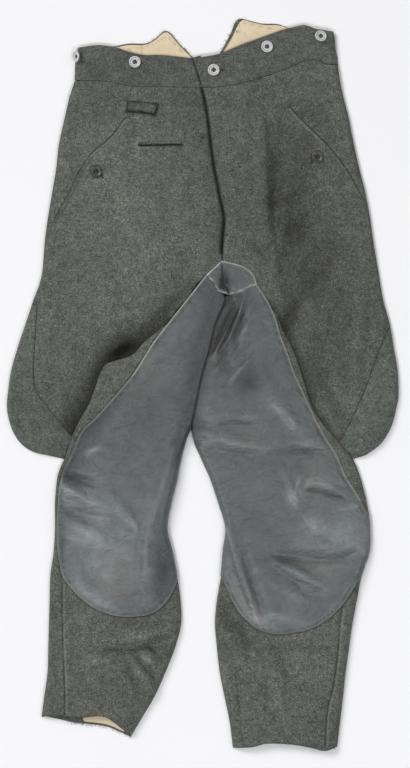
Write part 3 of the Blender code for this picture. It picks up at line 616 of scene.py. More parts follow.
def ring(x, y, radius, count):
    """Points round a circle."""
    angles = [math.tau * k / count for k in range(count)]
    return [(x + radius * math.cos(a), y + radius * math.sin(a)) for a in angles]


def search_tree(points):
    """A tree that finds the nearest of some points in the plane."""
    tree = KDTree(len(points))
    for i, (x, y) in enumerate(points):
        tree.insert((x, y, 0), i)
    tree.balance()
    return tree


def beyond(points, tree, away):
    """Points that lie farther than an amount from all of a tree's."""
    far = [tree.find((x, y, 0))[2] > away for x, y in points]
    return points[np.array(far, bool)]


def dense(line, step):
    """The points of a line with more put between them."""
    out = []
    line = [tuple(p[:2]) for p in line]
    for a, b in zip(line, line[1:]):
        n = max(1, int(math.dist(a, b) / step))
        for i in range(n):
            out.append((a[0] + (b[0] - a[0]) * i / n, a[1] + (b[1] - a[1]) * i / n))
    return out + [line[-1]]


def placed(name, data):
    """An object of some data, linked into the scene."""
    made = bpy.data.objects.new(name, data)
    bpy.context.collection.objects.link(made)
    return made


def solid(name, points, faces, finish):
    """An object from points in millimetres."""
    mesh = bpy.data.meshes.new(name)
    moved = (np.asarray(points, float) + CENTRE) * MM
    mesh.from_pydata(moved.tolist(), [], faces)
    mesh.update()
    mesh.shade_smooth()
    mesh.materials.append(finish)
    return placed(name, mesh)


# Marks laid on a piece as values at its points: tone is lighter or darker
# cloth, mostly painted shade and painted light over folds and hips; dark is
# painted shade in folds, hollows, under edges and beside the fly, and grime in
# seams; pale is a cut or rubbed edge, and painted highlight along crests.
Mark = namedtuple("Mark", "what line width gain")
Patch = namedtuple("Patch", "x y long wide turn tone")


def shade_and_dirt(line, width, gain):
    """Painted shade along a line, and grime along a seam."""
    return Mark("dark", line, width, gain)


def rub_and_highlight(line, width, gain):
    """A cut or rubbed edge along a line, and painted highlight along a crest."""
    return Mark("pale", line, width, gain)


def paint(made, xy, marks, rim):
    """Values at a piece's points from marks, patches and its own rim."""
    value = {k: np.zeros(len(xy)) for k in ("tone", "dark", "pale", "edge")}
    for m in marks:
        if isinstance(m, Patch):
            c, s = math.cos(math.radians(m.turn)), math.sin(math.radians(m.turn))
            dx, dy = xy[:, 0] - m.x, xy[:, 1] - m.y
            u, v = (dx * c + dy * s) / m.long, (dy * c - dx * s) / m.wide
            value["tone"] += m.tone * np.exp(-(u * u + v * v))
        else:
            d = near(xy, m.line)[0]
            value[m.what] = np.maximum(value[m.what], m.gain * np.exp(-((d / m.width) ** 2)))
    places = [q for a, b in rim for q in dense([a, b], 1.0)]
    tree = search_tree(places)
    away = np.array([tree.find((x, y, 0))[2] for x, y in xy])
    value["edge"] = np.exp(-((away / 1.5) ** 2))
    keep_values(made, value)


def keep_values(made, values):
    """Values kept at a piece's points, for its finish to read."""
    for name, v in values.items():
        made.data.attributes.new(name, "FLOAT", "POINT").data.foreach_set("value", v)


# Finishes.


class Finish:
    """A material whose nodes are set out one after another."""

    def __init__(self, name):
        self.made = bpy.data.materials.new(name)
        self.made.use_nodes = True
        self.tree = self.made.node_tree
        self.tree.nodes.clear()
        self.out = self.node("ShaderNodeOutputMaterial")
        self.shader = self.node("ShaderNodeBsdfPrincipled")
        self.tree.links.new(self.shader.outputs[0], self.out.inputs["Surface"])
        self.place = self.node("ShaderNodeTexCoord").outputs["Object"]

    def node(self, kind, inputs=(), **settings):
        """A node with its inputs filled or linked."""
        made = self.tree.nodes.new(kind)
        for key, value in settings.items():
            setattr(made, key, value)
        for key, value in dict(inputs).items():
            self.put(made.inputs[key], value)
        return made

    def put(self, socket, value):
        """A value given to a socket, or a link made to it."""
        if isinstance(value, bpy.types.NodeSocket):
            self.tree.links.new(value, socket)
        else:
            socket.default_value = value

    def noise(self, scale, detail=2.0, rough=0.5, warp=0.0, place=None):
        """Cloudy values about 0.5."""
        inputs = {"Vector": place or self.place, "Scale": scale, "Detail": detail}
        inputs.update({"Roughness": rough, "Distortion": warp})
        return self.node("ShaderNodeTexNoise", inputs).outputs["Fac"]

    def stretched(self, scale, turn):
        """Places stretched along one direction, for fibres and bands."""
        made = self.node(
            "ShaderNodeMapping",
            {"Vector": self.place, "Scale": scale, "Rotation": (0, 0, math.radians(turn))},
        )
        return made.outputs[0]

    def math(self, how, a, b=0.0, c=0.0):
        """One sum on up to three values."""
        made = self.node("ShaderNodeMath", operation=how)
        for i, v in enumerate((a, b, c)):
            self.put(made.inputs[i], v)
        return made.outputs[0]

    def times(self, a, b):
        """One value multiplied by another."""
        return self.math("MULTIPLY", a, b)

    def scaled(self, colour, by):
        """A colour made lighter or darker."""
        return self.node("ShaderNodeVectorMath", {0: colour, 1: by}, operation="MULTIPLY").outputs[0]

    def wave(self, turn, scale, warp, fine=1.0):
        """Even bands in one direction, as threads lie in a weave."""
        inputs = {"Vector": self.stretched((1, 1, 1), turn), "Scale": scale, "Distortion": warp}
        inputs.update({"Detail": 1.0, "Detail Scale": fine})
        return self.node("ShaderNodeTexWave", inputs).outputs["Fac"]

    def spread(self, value, low, high, to_low=0.0, to_high=1.0):
        """A range of values stretched to another."""
        made = self.node(
            "ShaderNodeMapRange",
            {"Value": value, "From Min": low, "From Max": high, "To Min": to_low, "To Max": to_high},
        )
        return made.outputs[0]

    def mix(self, share, a, b, how="MIX"):
        """Two colours mixed by a share."""
        made = self.node("ShaderNodeMix", data_type="RGBA", blend_type=how)
        self.put(made.inputs[0], share)
        self.put(made.inputs[6], a)
        self.put(made.inputs[7], b)
        return made.outputs[2]

    def over(self, base, value, share, colour):
        """A colour laid over another where a value is high."""
        return self.mix(self.times(value, share), base, colour)

    def kept(self, name):
        """A value painted on the piece."""
        return self.node("ShaderNodeAttribute", attribute_name=name).outputs["Fac"]

    def bump(self, height, deep, strength=1.0, under=None):
        """Relief; deep is the height of its highest place in metres."""
        made = self.node("ShaderNodeBump", {"Height": height, "Distance": deep, "Strength": strength})
        if under is not None:
            self.put(made.inputs["Normal"], under)
        return made.outputs[0]

    def finish(self, **values):
        """The material, once its shader has its values."""
        for key, value in values.items():
            self.put(self.shader.inputs[key.replace("_", " ")], value)
        return self.made


def toned(f, colour, strength=1.0):
    """Colour lightened and darkened by the piece's painted values: painted shade and painted light from
    marks and patches, and grime in seams.
    """
    tone = f.kept("tone")
    gain = f.math("ADD", f.times(tone, strength), 1.0)
    shade = f.math("SUBTRACT", 1.0, f.times(f.kept("dark"), 0.8))
    both = f.math("MAXIMUM", f.times(gain, shade), 0.02)
    return f.scaled(colour, both)


def shaded(f, colour):
    """Colour darkened at a button's rings and holes by painted shade and grime."""
    shade = f.math("SUBTRACT", 1.0, f.times(f.kept("dark"), 0.85))
    return f.scaled(colour, shade)


def wool_finish(name, dark, mid, light, cloud):
    """Fulled twill: short crossed fibres, pale and dark flecks, a low nap."""
    f = Finish(name)
    fibres = []
    for turn, long in ((31, 260.0), (118, 300.0), (74, 220.0)):
        place = f.stretched((long, long * 4.5, long), turn)
        fibres.append(f.noise(1.0, 3.0, 0.6, 0.6, place))
    nap = f.math("MAXIMUM", f.math("MAXIMUM", fibres[0], fibres[1]), fibres[2])
    fleck = f.spread(f.noise(350.0, 3.0, 0.75), 0.36, 0.66)
    clump = f.spread(f.noise(170.0, 2.0, 0.6, 0.4), 0.32, 0.68)
    worn = f.spread(f.noise(26.0, 3.0, 0.6, 0.3), 0.25, 0.75)
    broad = f.noise(7.0, 2.0, 0.5)
    base = f.mix(f.math("MULTIPLY_ADD", fleck, 0.55, f.times(clump, 0.45)), dark, mid)
    pale = f.spread(f.times(nap, f.noise(820.0, 1.0)), 0.30, 0.46)
    base = f.over(base, pale, 0.75, light)
    cast = f.mix(f.times(worn, 0.5), base, cloud, "MULTIPLY")
    blotch = f.spread(f.noise(60.0, 3.0, 0.6, 0.5), 0.30, 0.70, 0.80, 1.17)
    gain = f.times(f.spread(broad, 0.3, 0.7, 0.90, 1.12), blotch)
    gained = f.scaled(cast, gain)
    # Painted shade and painted light from the piece's marks and patches, with pale lines beside stitching
    # and seams laid over.
    colour = f.mix(f.times(f.kept("pale"), 0.8), toned(f, gained), light)
    weave = f.times(f.wave(38, 190.0, 1.2, 3.0), f.wave(-52, 190.0, 1.2, 3.0))
    relief = f.bump(weave, 0.0003, 0.35)
    relief = f.bump(nap, 0.0012, 0.55, relief)
    relief = f.bump(f.noise(150.0, 3.0, 0.6), 0.0016, 0.45, relief)
    rough = f.spread(clump, 0.0, 1.0, 0.88, 1.0)
    return f.finish(
        Base_Color=colour,
        Roughness=rough,
        Normal=relief,
        Sheen_Weight=0.18,
        Sheen_Roughness=0.55,
        Sheen_Tint=(0.75, 0.80, 0.72, 1),
        Specular_IOR_Level=0.15,
    )


def leather_finish():
    """Smooth dyed leather: pores, fine wrinkles, painted highlights and painted shade on its folds."""
    f = Finish("leather")
    cloud = f.spread(f.noise(16.0, 4.0, 0.55, 0.4), 0.3, 0.7)
    mottle = f.spread(f.noise(70.0, 4.0, 0.6, 0.6), 0.3, 0.7)
    fine = f.spread(f.noise(420.0, 3.0, 0.6), 0.3, 0.7)
    base = f.mix(cloud, (0.052, 0.063, 0.067, 1), (0.108, 0.121, 0.123, 1))
    base = f.over(base, mottle, 0.45, (0.146, 0.158, 0.157, 1))
    base = f.over(base, fine, 0.3, (0.073, 0.086, 0.092, 1))
    stain = f.spread(f.noise(9.0, 3.0, 0.6, 0.8), 0.52, 0.72)
    base = f.over(base, stain, 0.45, (0.135, 0.127, 0.108, 1))
    # Painted shade and painted highlight from the piece's marks and patches, then the pale of cut edges
    # and of painted highlight along crests.
    base = toned(f, base, 2.0)
    base = f.over(base, f.kept("pale"), 0.85, (0.56, 0.55, 0.48, 1))
    pores = f.node(
        "ShaderNodeTexVoronoi",
        {"Vector": f.place, "Scale": 620.0, "Randomness": 1.0},
        feature="DISTANCE_TO_EDGE",
    ).outputs["Distance"]
    pebble = f.spread(pores, 0.0, 0.25)
    along = f.stretched((36.0, 150.0, 60.0), 24)
    wrinkle = f.math("ABSOLUTE", f.math("SUBTRACT", f.noise(1.0, 4.0, 0.55, 0.7, along), 0.5))
    wrinkle = f.spread(wrinkle, 0.0, 0.10)
    across = f.stretched((110.0, 40.0, 60.0), -18)
    cross = f.math("ABSOLUTE", f.math("SUBTRACT", f.noise(1.0, 4.0, 0.55, 0.7, across), 0.5))
    cross = f.spread(cross, 0.0, 0.12)
    dent = f.noise(1.0, 3.0, 0.6, 0.5, f.stretched((34.0, 60.0, 40.0), -12))
    relief = f.bump(dent, 0.012, 0.6)
    relief = f.bump(wrinkle, 0.0009, 0.28, relief)
    relief = f.bump(cross, 0.0008, 0.22, relief)
    relief = f.bump(pebble, 0.00035, 0.5, relief)
    relief = f.bump(f.noise(900.0, 2.0, 0.6), 0.0003, 0.4, relief)
    rough = f.math("ADD", f.spread(mottle, 0.0, 1.0, 0.30, 0.42), f.times(stain, 0.08))
    return f.finish(
        Base_Color=base,
        Roughness=rough,
        Normal=relief,
        Specular_IOR_Level=0.4,
        Coat_Weight=0.55,
        Coat_Roughness=0.38,
    )


def lining_finish():
    """Plain woven cotton, cream, a little soiled."""
    f = Finish("lining")
    soil = f.spread(f.noise(22.0, 4.0, 0.6, 0.5), 0.35, 0.75)
    base = f.mix(f.times(soil, 0.5), (0.80, 0.66, 0.46, 1), (0.62, 0.48, 0.30, 1))
    slub = f.noise(1.0, 2.0, 0.6, 0.0, f.stretched((900.0, 120.0, 300.0), 2))
    base = f.over(base, f.spread(slub, 0.3, 0.7), 0.22, (0.90, 0.80, 0.62, 1))
    base = toned(f, base)
    weave = f.math("MAXIMUM", f.wave(2, 260.0, 0.6), f.wave(92, 260.0, 0.6))
    relief = f.bump(weave, 0.00035, 0.6)
    relief = f.bump(f.noise(45.0, 3.0, 0.6, 0.4), 0.003, 0.5, relief)
    return f.finish(
        Base_Color=base,
        Roughness=0.92,
        Normal=relief,
        Sheen_Weight=0.1,
        Specular_IOR_Level=0.2,
    )


def metal_finish():
    """Zinc-grey stamped metal, dulled; wear and painted highlight on its high rings, painted shade and
    grime at its rim and round its holes.
    """
    f = Finish("metal_button")
    dull = f.spread(f.noise(240.0, 4.0, 0.65, 0.4), 0.3, 0.7)
    pit = f.spread(f.noise(900.0, 3.0, 0.7), 0.35, 0.6)
    base = f.mix(dull, (0.52, 0.52, 0.52, 1), (0.80, 0.80, 0.80, 1))
    base = f.over(base, f.kept("pale"), 0.8, (0.92, 0.92, 0.92, 1))
    base = f.over(base, pit, 0.25, (0.10, 0.10, 0.095, 1))
    base = shaded(f, base)
    relief = f.bump(f.noise(700.0, 3.0, 0.6), 0.0002, 0.4)
    rough = f.spread(dull, 0.0, 1.0, 0.50, 0.30)
    return f.finish(Base_Color=base, Roughness=rough, Normal=relief, Metallic=0.15)


def horn_finish():
    """Dark pressed horn with a low polish; wear and painted highlight on its high rings, painted shade and
    grime at its rim and round its holes.
    """
    f = Finish("dark_button")
    swirl = f.spread(f.noise(180.0, 3.0, 0.6, 1.5), 0.3, 0.7)
    base = f.mix(swirl, (0.016, 0.016, 0.015, 1), (0.045, 0.044, 0.040, 1))
    base = f.over(base, f.kept("pale"), 0.6, (0.20, 0.20, 0.19, 1))
    base = shaded(f, base)
    relief = f.bump(f.noise(800.0, 2.0, 0.6), 0.00015, 0.3)
    rough = f.spread(swirl, 0.0, 1.0, 0.26, 0.42)
    return f.finish(Base_Color=base, Roughness=rough, Normal=relief, Specular_IOR_Level=0.55)


def thread_finish(name, light, dark):
    """Twisted sewing thread."""
    f = Finish(name)
    ply = f.spread(f.noise(1500.0, 2.0, 0.6), 0.3, 0.7)
    base = f.mix(ply, dark, light)
    relief = f.bump(ply, 0.0002, 0.5)
    return f.finish(Base_Color=base, Roughness=0.85, Normal=relief, Sheen_Weight=0.15)


def floor_finish():
    """Pale matt paper."""
    f = Finish("pale_floor")
    soft = f.noise(3.0, 2.0, 0.5)
    base = f.mix(soft, (0.90, 0.90, 0.915, 1), (0.93, 0.93, 0.94, 1))
    relief = f.bump(f.noise(400.0, 2.0, 0.5), 0.0001, 0.15)
    return f.finish(Base_Color=base, Roughness=0.9, Normal=relief, Specular_IOR_Level=0.2)


WOOL_CLOTH = wool_finish(
    "wool",
    dark=(0.032, 0.035, 0.029, 1),
    mid=(0.142, 0.146, 0.131, 1),
    light=(0.370, 0.376, 0.340, 1),
    cloud=(0.88, 0.92, 0.87, 1),
)
INSERT_CLOTH = wool_finish(
    "wool_insert",
    dark=(0.034, 0.040, 0.034, 1),
    mid=(0.138, 0.156, 0.136, 1),
    light=(0.340, 0.365, 0.325, 1),
    cloud=(0.88, 0.94, 0.89, 1),
)
LEATHER_SKIN = leather_finish()
LINING_CLOTH = lining_finish()
METAL = metal_finish()
HORN = horn_finish()
THREAD = thread_finish("grey_thread", (0.23, 0.235, 0.21, 1), (0.09, 0.092, 0.08, 1))
PALE_THREAD = thread_finish("pale_thread", (0.42, 0.42, 0.38, 1), (0.22, 0.22, 0.19, 1))
DARK_THREAD = thread_finish("dark_thread", (0.05, 0.052, 0.045, 1), (0.02, 0.02, 0.018, 1))


# Finer folds, beside the large ones.
FINE_RIGHT = table(
    Crease,
    (-90, 395, -62, 330, 6, 6, 0.5),
    (-34, 404, -14, 300, -5, 6, -0.5),
    (-8, 292, 4, 214, 3, 5, 0.7),
    (-20, 260, 6, 196, 5, 5, -0.6),
    (-150, 262, -118, 196, 8, 10, 0.7),
    (-232, 186, -150, 150, 10, 11, -0.7),
    (-252, 92, -172, 68, -8, 9, 0.8),
    (-274, 34, -204, 22, 6, 7, -0.7),
    (-268, -4, -214, -30, -4, 7, 0.6),
    (-104, 204, -42, 128, 8, 11, -0.8),
    (-66, 172, -4, 176, -8, 7, 0.6),
    (-78, 150, -30, 140, -4, 6, 0.7),
    (-130, 150, -96, 96, 6, 9, 0.9),
    (-204, 330, -188, 226, -6, 9, 0.6),
    (8, 142, -16, 46, 5, 4, 0.9),
    (-2, 136, -46, 50, 6, 5, -0.8),
    (20, 124, 2, 62, -3, 4, 0.8),
    (14, 110, -10, 20, 4, 4, -0.7),
    (-28, 96, -84, 22, 7, 6, 0.7),
    (-60, 52, -122, -28, 8, 9, 0.8),
    (-92, 4, -150, -62, -6, 8, -0.7),
    (-30, 10, -62, -84, 8, 7, -0.7),
    (-14, -16, -40, -104, 5, 5, 0.7),
    (-60, -110, -100, -170, 6, 7, 0.8),
    (-178, -96, -112, -110, 8, 8, 0.7),
    (-196, -120, -130, -128, -4, 5, 0.8),
    (-206, -186, -160, -200, 4, 6, -0.9),
    (-120, -190, -76, -250, 8, 6, -1.0),
    (-70, -190, -58, -268, -4, 6, 0.9),
    (-110, -238, -64, -300, 6, 7, 0.8),
    (-176, -252, -128, -300, -6, 9, -0.9),
    (-202, -250, -176, -296, 5, 7, 0.8),
    (-140, -318, -92, -326, 4, 5, -0.7),
    (-60, -352, -120, -362, 5, 7, 1.0),
    (-50, -360, -110, -384, -5, 5, -0.8),
    (-52, -404, -98, -410, 4, 5, 0.9),
    (-60, -420, -92, -448, 5, 5, -0.8),
    (-90, -440, -100, -500, 4, 6, 0.9),
    (-222, -330, -214, -420, -3, 6, -0.7),
    (-150, -410, -146, -490, 8, 8, -0.8),
    (-182, -420, -170, -486, -5, 6, 0.7),
    (-232, -450, -211, -447, 0, 3, -0.8),
)
FINE_LEFT = table(
    Crease,
    (30, 420, 40, 330, 6, 6, 0.6),
    (46, 440, 50, 380, -4, 6, -0.5),
    (42, 330, 52, 250, 5, 8, 0.7),
    (44, 250, 40, 200, -4, 5, 0.7),
    (110, 300, 122, 214, 6, 8, 0.8),
    (150, 330, 158, 262, -6, 9, 0.7),
    (204, 300, 176, 232, 6, 9, -0.8),
    (236, 260, 214, 190, -5, 8, 0.8),
    (226, 160, 184, 96, 5, 8, -0.8),
    (256, 120, 206, 96, -8, 8, 0.7),
    (270, 20, 226, 6, 5, 6, -0.7),
    (262, -30, 214, -52, 5, 6, 0.7),
    (112, 196, 96, 150, 4, 7, 0.8),
    (86, 226, 70, 186, 4, 6, 0.7),
    (56, 120, 31, 78, 3, 2.2, -0.9),
    (68, 112, 44, 66, -4, 2.2, -0.8),
    (74, 66, 40, 40, 3, 2.2, -0.8),
    (64, 92, 20, 38, 5, 2.0, -0.7),
    (44, 60, 6, 10, 3, 2.4, -0.8),
    (76, 90, 72, 56, 3, 2.2, 0.6),
    (52, 30, 10, -14, 4, 2.4, -0.6),
    (88, 74, 60, 40, -3, 2.2, -0.6),
    (46, 126, 30, 56, 3, 4, -0.8),
    (58, 134, 58, 66, -3, 4, 0.9),
    (72, 134, 84, 60, -4, 6, 0.8),
    (84, 128, 104, 70, -3, 4, -0.9),
    (44, 70, 96, 76, 6, 4, 0.7),
    (38, 50, 82, 62, 5, 4, -0.8),
    (36, 36, 76, 40, 4, 4, 0.8),
    (30, 22, 64, 26, 4, 4, -0.7),
    (92, 40, 112, -20, -5, 8, 0.9),
    (60, 0, 110, -40, 7, 9, 0.8),
    (20, -40, 66, -58, 5, 6, 0.8),
    (12, -96, 84, -112, 4, 5, -1.1),
    (24, -120, 110, -118, -6, 8, 0.9),
    (120, -70, 168, -86, 4, 6, 0.9),
    (116, -132, 190, -130, 5, 6, 0.9),
    (180, -140, 236, -176, 5, 6, -0.9),
    (170, -218, 244, -214, -5, 6, -0.8),
    (80, -160, 130, -230, 9, 12, 0.7),
    (50, -180, 60, -250, -6, 9, 0.8),
    (60, -280, 120, -268, 4, 6, 0.9),
    (150, -270, 226, -276, 4, 5, 0.8),
    (130, -316, 190, -322, 5, 6, -0.8),
    (70, -300, 100, -352, 5, 6, -0.9),
    (30, -336, 62, -350, 3, 5, 1.0),
    (26, -372, 70, -384, -4, 5, 1.1),
    (34, -404, 90, -430, 5, 7, 0.9),
    (160, -392, 176, -470, 6, 9, -0.8),
    (112, -400, 150, -466, -6, 7, -0.9),
    (60, -446, 76, -530, 4, 7, 0.9),
    (110, -480, 104, -534, -4, 6, -0.7),
    (206, -350, 200, -430, 3, 6, -0.7),
    (150, -500, 160, -538, 3, 6, 0.7),
)
BACK_CREASES = table(
    Crease,
    (-150, 420, -120, 250, 10, 12, 1.3),
    (-60, 400, -90, 240, -8, 10, 1.1),
    (-200, 240, -140, 160, 8, 14, 1.2),
    (-40, 250, -110, 190, 8, 9, 1.0),
    (60, 410, 90, 260, -9, 12, 1.3),
    (150, 420, 130, 270, 8, 11, 1.1),
    (210, 250, 150, 190, -8, 13, 1.2),
    (60, 240, 120, 200, 6, 9, 1.0),
    (-180, -160, -90, -200, 10, 11, 1.2),
    (-190, -240, -80, -226, -9, 9, 1.0),
    (-160, -330, -80, -370, 8, 10, 1.3),
    (-190, -420, -120, -450, -6, 9, 1.0),
    (60, -160, 200, -190, 10, 12, 1.3),
    (70, -230, 190, -220, -8, 9, 1.0),
    (60, -330, 170, -350, 8, 11, 1.2),
    (70, -420, 160, -470, 6, 9, 1.1),
)

# Seams that are only a pressed line in one cloth.
SIDE_SEAM_RIGHT = ((-211, -300), (-211, -340), (-210, -382), (-208, -430), (-207, -462), (-207, -494))
SIDE_SEAM_LEFT = ((208, -336), (204, -374), (201, -410), (195, -452), (186, -490), (183, -542))
INNER_SEAM_LEFT = ((48, -430), (54, -480), (57, -519), (60, -541))
BACK_SEAM_RIGHT = (
    (-180, 440), (-196, 300), (-206, 180), (-196, 60), (-190, -60), (-196, -200), (-206, -340),
    (-214, -490),
)
BACK_SEAM_LEFT = (
    (190, 450), (206, 300), (214, 180), (206, 60), (204, -60), (216, -200), (200, -340),
    (188, -530),
)

# Long folds through several places; each side has its own half width, left
# being the left-hand side along the line.
Drape = namedtuple("Drape", "line left right rise")
HIP_FOLD_LEFT = (
    (93, 414), (100, 377), (102, 317), (105, 272), (110, 222), (120, 177), (126, 110), (126, 84),
)
DRAPES_RIGHT = table(
    Drape,
    (((-4, 180), (-54, 140), (-98, 96), (-119, 66), (-154, 28), (-184, -18), (-204, -62)), 8, 24, -3.4),
    (((-250, 330), (-200, 300), (-160, 230), (-150, 150)), 34, 26, 2.0),
    (((-205, 470), (-160, 430), (-150, 396)), 18, 12, -2.2),
    (((-100, 300), (-90, 220), (-60, 170)), 24, 28, 1.8),
    (((-46, -80), (-56, -138), (-66, -170), (-77, -204), (-85, -240), (-87, -300)), 30, 5, 3.2),
    (((-206, -134), (-180, -144), (-150, -150)), 9, 8, -2.6),
    (((-212, -154), (-190, -162), (-170, -174), (-148, -182), (-124, -188)), 7, 10, 3.2),
    (((-205, -186), (-180, -196), (-150, -204)), 8, 8, -2.6),
    (((-208, -201), (-182, -211), (-158, -223), (-138, -238)), 7, 9, 3.4),
    (((-134, -214), (-114, -220), (-98, -230)), 5, 8, 1.8),
    (((-124, -188), (-106, -200), (-95, -220)), 6, 5, 2.0),
    (((-146, -252), (-124, -258), (-110, -266)), 5, 6, -2.0),
    (((-200, -262), (-184, -290), (-152, -322)), 18, 14, 2.6),
    (((-186, -262), (-164, -276), (-140, -300)), 8, 8, -1.6),
    (((-176, -103), (-160, -99), (-146, -93)), 5, 5, 1.8),
    (((-150, -400), (-100, -400), (-50, -380)), 5, 8, -4.4),
    (((-150, -386), (-100, -384), (-60, -370)), 8, 5, 2.4),
    (((-112, -404), (-90, -424), (-78, -446), (-74, -470)), 6, 5, 3.2),
    (((-96, -402), (-76, -420), (-66, -440)), 5, 5, -3.0),
    (((-128, -410), (-112, -440), (-104, -478)), 6, 8, 2.8),
    (((-205, -330), (-202, -400), (-198, -480)), 10, 8, 1.6),
    (((-124, -410), (-160, -418), (-186, -440)), 5, 6, 2.0),
    (((-94, -408), (-86, -432), (-84, -462)), 4, 4, -1.8),
)
DRAPES_LEFT = table(
    Drape,
    (HIP_FOLD_LEFT, 32, 5, -5.4),
    (((84, 420), (92, 380), (94, 320), (96, 262)), 5, 12, 2.6),
    (((124, 262), (150, 256), (180, 228), (192, 190)), 9, 14, 2.8),
    (((188, 218), (172, 172), (152, 142), (130, 96)), 14, 7, -3.4),
    (((196, 206), (198, 110), (206, 30), (214, -40)), 22, 18, 3.0),
    (((58, 220), (80, 213), (96, 196), (100, 176)), 5, 8, -3.0),
    (((56, 206), (76, 201), (88, 184)), 5, 6, 2.0),
    (((254, 170), (246, 100), (238, 40), (226, -20)), 6, 9, -2.6),
    (((30, 236), (50, 226), (56, 200)), 8, 8, 1.8),
    (((106, -253), (150, -257), (190, -262), (214, -258), (230, -249)), 6, 6, -3.2),
    (((150, -238), (186, -244), (224, -238)), 12, 8, 2.8),
    (((112, -266), (140, -279), (164, -296), (182, -304)), 6, 7, 2.6),
    (((96, -264), (118, -280), (146, -300)), 5, 6, -2.0),
    (((100, -296), (126, -304), (152, -324)), 7, 8, 1.8),
    (((92, -334), (112, -342), (136, -352)), 7, 8, 1.8),
    (((98, -100), (126, -101), (152, -100.5), (180, -99)), 3.4, 3.4, -2.8),
    (((4, -78), (30, -84), (64, -92), (90, -92)), 6, 9, 3.2),
    (((4, -98), (40, -104), (90, -101)), 6, 8, -1.6),
    (((10, -54), (44, -48), (80, -45)), 5, 7, 2.2),
    (((20, -62), (60, -60), (90, -66)), 5, 5, -1.6),
    (((104, -24), (118, -36), (134, -54), (148, -70)), 6, 6, 2.6),
    (((140, -84), (154, -90), (172, -92)), 6, 5, 2.0),
    (((118, -118), (128, -140), (137, -166), (146, -186)), 5, 6, 2.2),
    (((152, -132), (144, -150), (137, -168)), 4, 5, 1.8),
    (((150, -154), (172, -146), (194, -153), (210, -164)), 5, 7, 3.0),
    (((158, -164), (182, -161), (206, -172)), 5, 5, -2.6),
    (((200, -190), (222, -186), (238, -182)), 5, 5, -1.4),
    (((156, -194), (170, -206), (180, -222)), 9, 9, 2.2),
    (((38, -206), (50, -250), (64, -292), (78, -330), (92, -362)), 5, 6, 4.2),
    (((57, -225), (73, -275), (91, -325)), 6, 8, -1.6),
    (((30, -326), (56, -356), (74, -388)), 8, 5, -3.2),
    (((60, -378), (98, -430), (134, -490)), 8, 14, 2.6),
    (((88, -372), (120, -410), (128, -440)), 9, 9, -1.6),
    (((56, 124), (34, 80), (14, 44)), 5, 7, -4.2),
    (((62, 122), (46, 80), (30, 50)), 4, 5, 2.0),
    (((66, 116), (60, 84), (52, 54)), 5, 6, -1.5),
    (((78, 50), (58, 27), (30, -2)), 3.5, 4, -0.5),
)
FOLD = 1.6

# How far beside a line extra points stand, for its roll, seam or groove.
EDGE_ROWS = (1.2, -1.2, 2.6, -2.6, 4.6, -4.6, 7.0, -7.0)
SEAM_ROWS = (0, 1.3, -1.3, 2.8, -2.8)
BESIDE_ROWS = (1.3, -1.3, 2.8, -2.8)


def rowed(rows, *lines):
    """Lines that have the same rows of points beside them."""
    return [(line, rows) for line in lines]


def wavy(p, size, amount, seed):
    """Small uneven swelling of pressed cloth."""
    places = ((x / size, y / size, seed) for x, y in p.tolist())
    rise = [noise.noise(q) + 0.5 * noise.noise((q[0] * 2.1, q[1] * 2.1, q[2])) for q in places]
    return amount * np.array(rise)


def draped(p, drapes):
    """Rise of the long folds at the points."""
    rise = np.zeros(len(p))
    for fold in drapes:
        line = smooth(fold.line, 8)
        d, along = near(p, line)
        q = np.array(line)
        t = np.gradient(q, axis=0)
        i = np.clip(np.round(along).astype(int), 0, len(q) - 1)
        off = p - q[i]
        left = t[i, 0] * off[:, 1] - t[i, 1] * off[:, 0] > 0
        width = np.where(left, fold.left, fold.right)
        fade = np.sin(np.pi * np.clip(along / (len(q) - 1) * 0.88 + 0.06, 0, 1)) ** 0.6
        rise += fold.rise * fade * np.exp(-((d / width) ** 2))
    return rise


def crowned(p, z, lines, rise, width):
    """Height swelling away from a piece's sides."""
    d = np.min([near(p, line)[0] for line in lines], axis=0)
    t = np.clip(d / width, 0, 1)
    return z + rise * t * (2 - t)


def grooved(p, z, seams):
    """Height pressed down along seams: line, half width, depth."""
    for line, width, depth in seams:
        z = z - depth * np.exp(-((near(p, line)[0] / width) ** 2))
    return z


# Rise of a piece's middle with the distance over which it swells, how much
# deeper folds are on the legs, and the level and roll of the waist's edge.
FRONT_CROWN = (3.2, 70)
LEG_CROWN = (5.2, 64)
LEG_DRAPE = 1.35
WAIST_EDGE = (6.6, 5)

# Outlines shared by several pieces.
flank_right = [(f.right, f.y) for f in FLANKS]
flank_left = [(f.left, f.y) for f in FLANKS]
side_right = smooth([p for p in flank_right if p[1] <= 434])
side_left = smooth([p for p in flank_left if p[1] <= 434])
top_side_right = smooth([(-193, 456)] + [p for p in flank_right if p[1] <= 434])
top_side_left = smooth([(203, 480)] + [p for p in flank_left if p[1] <= 470])
out_right = smooth([(-208, -111)] + [(g.right_out, g.y) for g in LEGS] + [(-242, -498)])
out_left = smooth([(225, -111)] + [(g.left_out, g.y) for g in LEGS] + [(201, -543)])
inseam = smooth([(s.x, s.y) for s in INSEAM])
inseam_low = np.interp([-p[1] for p in inseam], [-s.y for s in INSEAM], [s.low for s in INSEAM])
in_right = smooth([(-32, -106)] + [(g.right_in, g.y) for g in LEGS] + list(RIGHT_ANKLE[1:]))
in_left = smooth(list(LEFT_EMERGES) + [(g.left_in, g.y) for g in LEGS] + list(LEFT_ANKLE[1:]))
fold_right = smooth(FOLD_RIGHT)
fold_left = smooth(FOLD_LEFT)
crotch = smooth(CROTCH)
crotch_point = CROTCH[-1]
seam_right = smooth([(w.x, w.seam) for w in WAIST_RIGHT])
seam_left = smooth([(w.x, w.seam) for w in WAIST_LEFT])
fly = smooth([(f.x, f.y) for f in FLY])
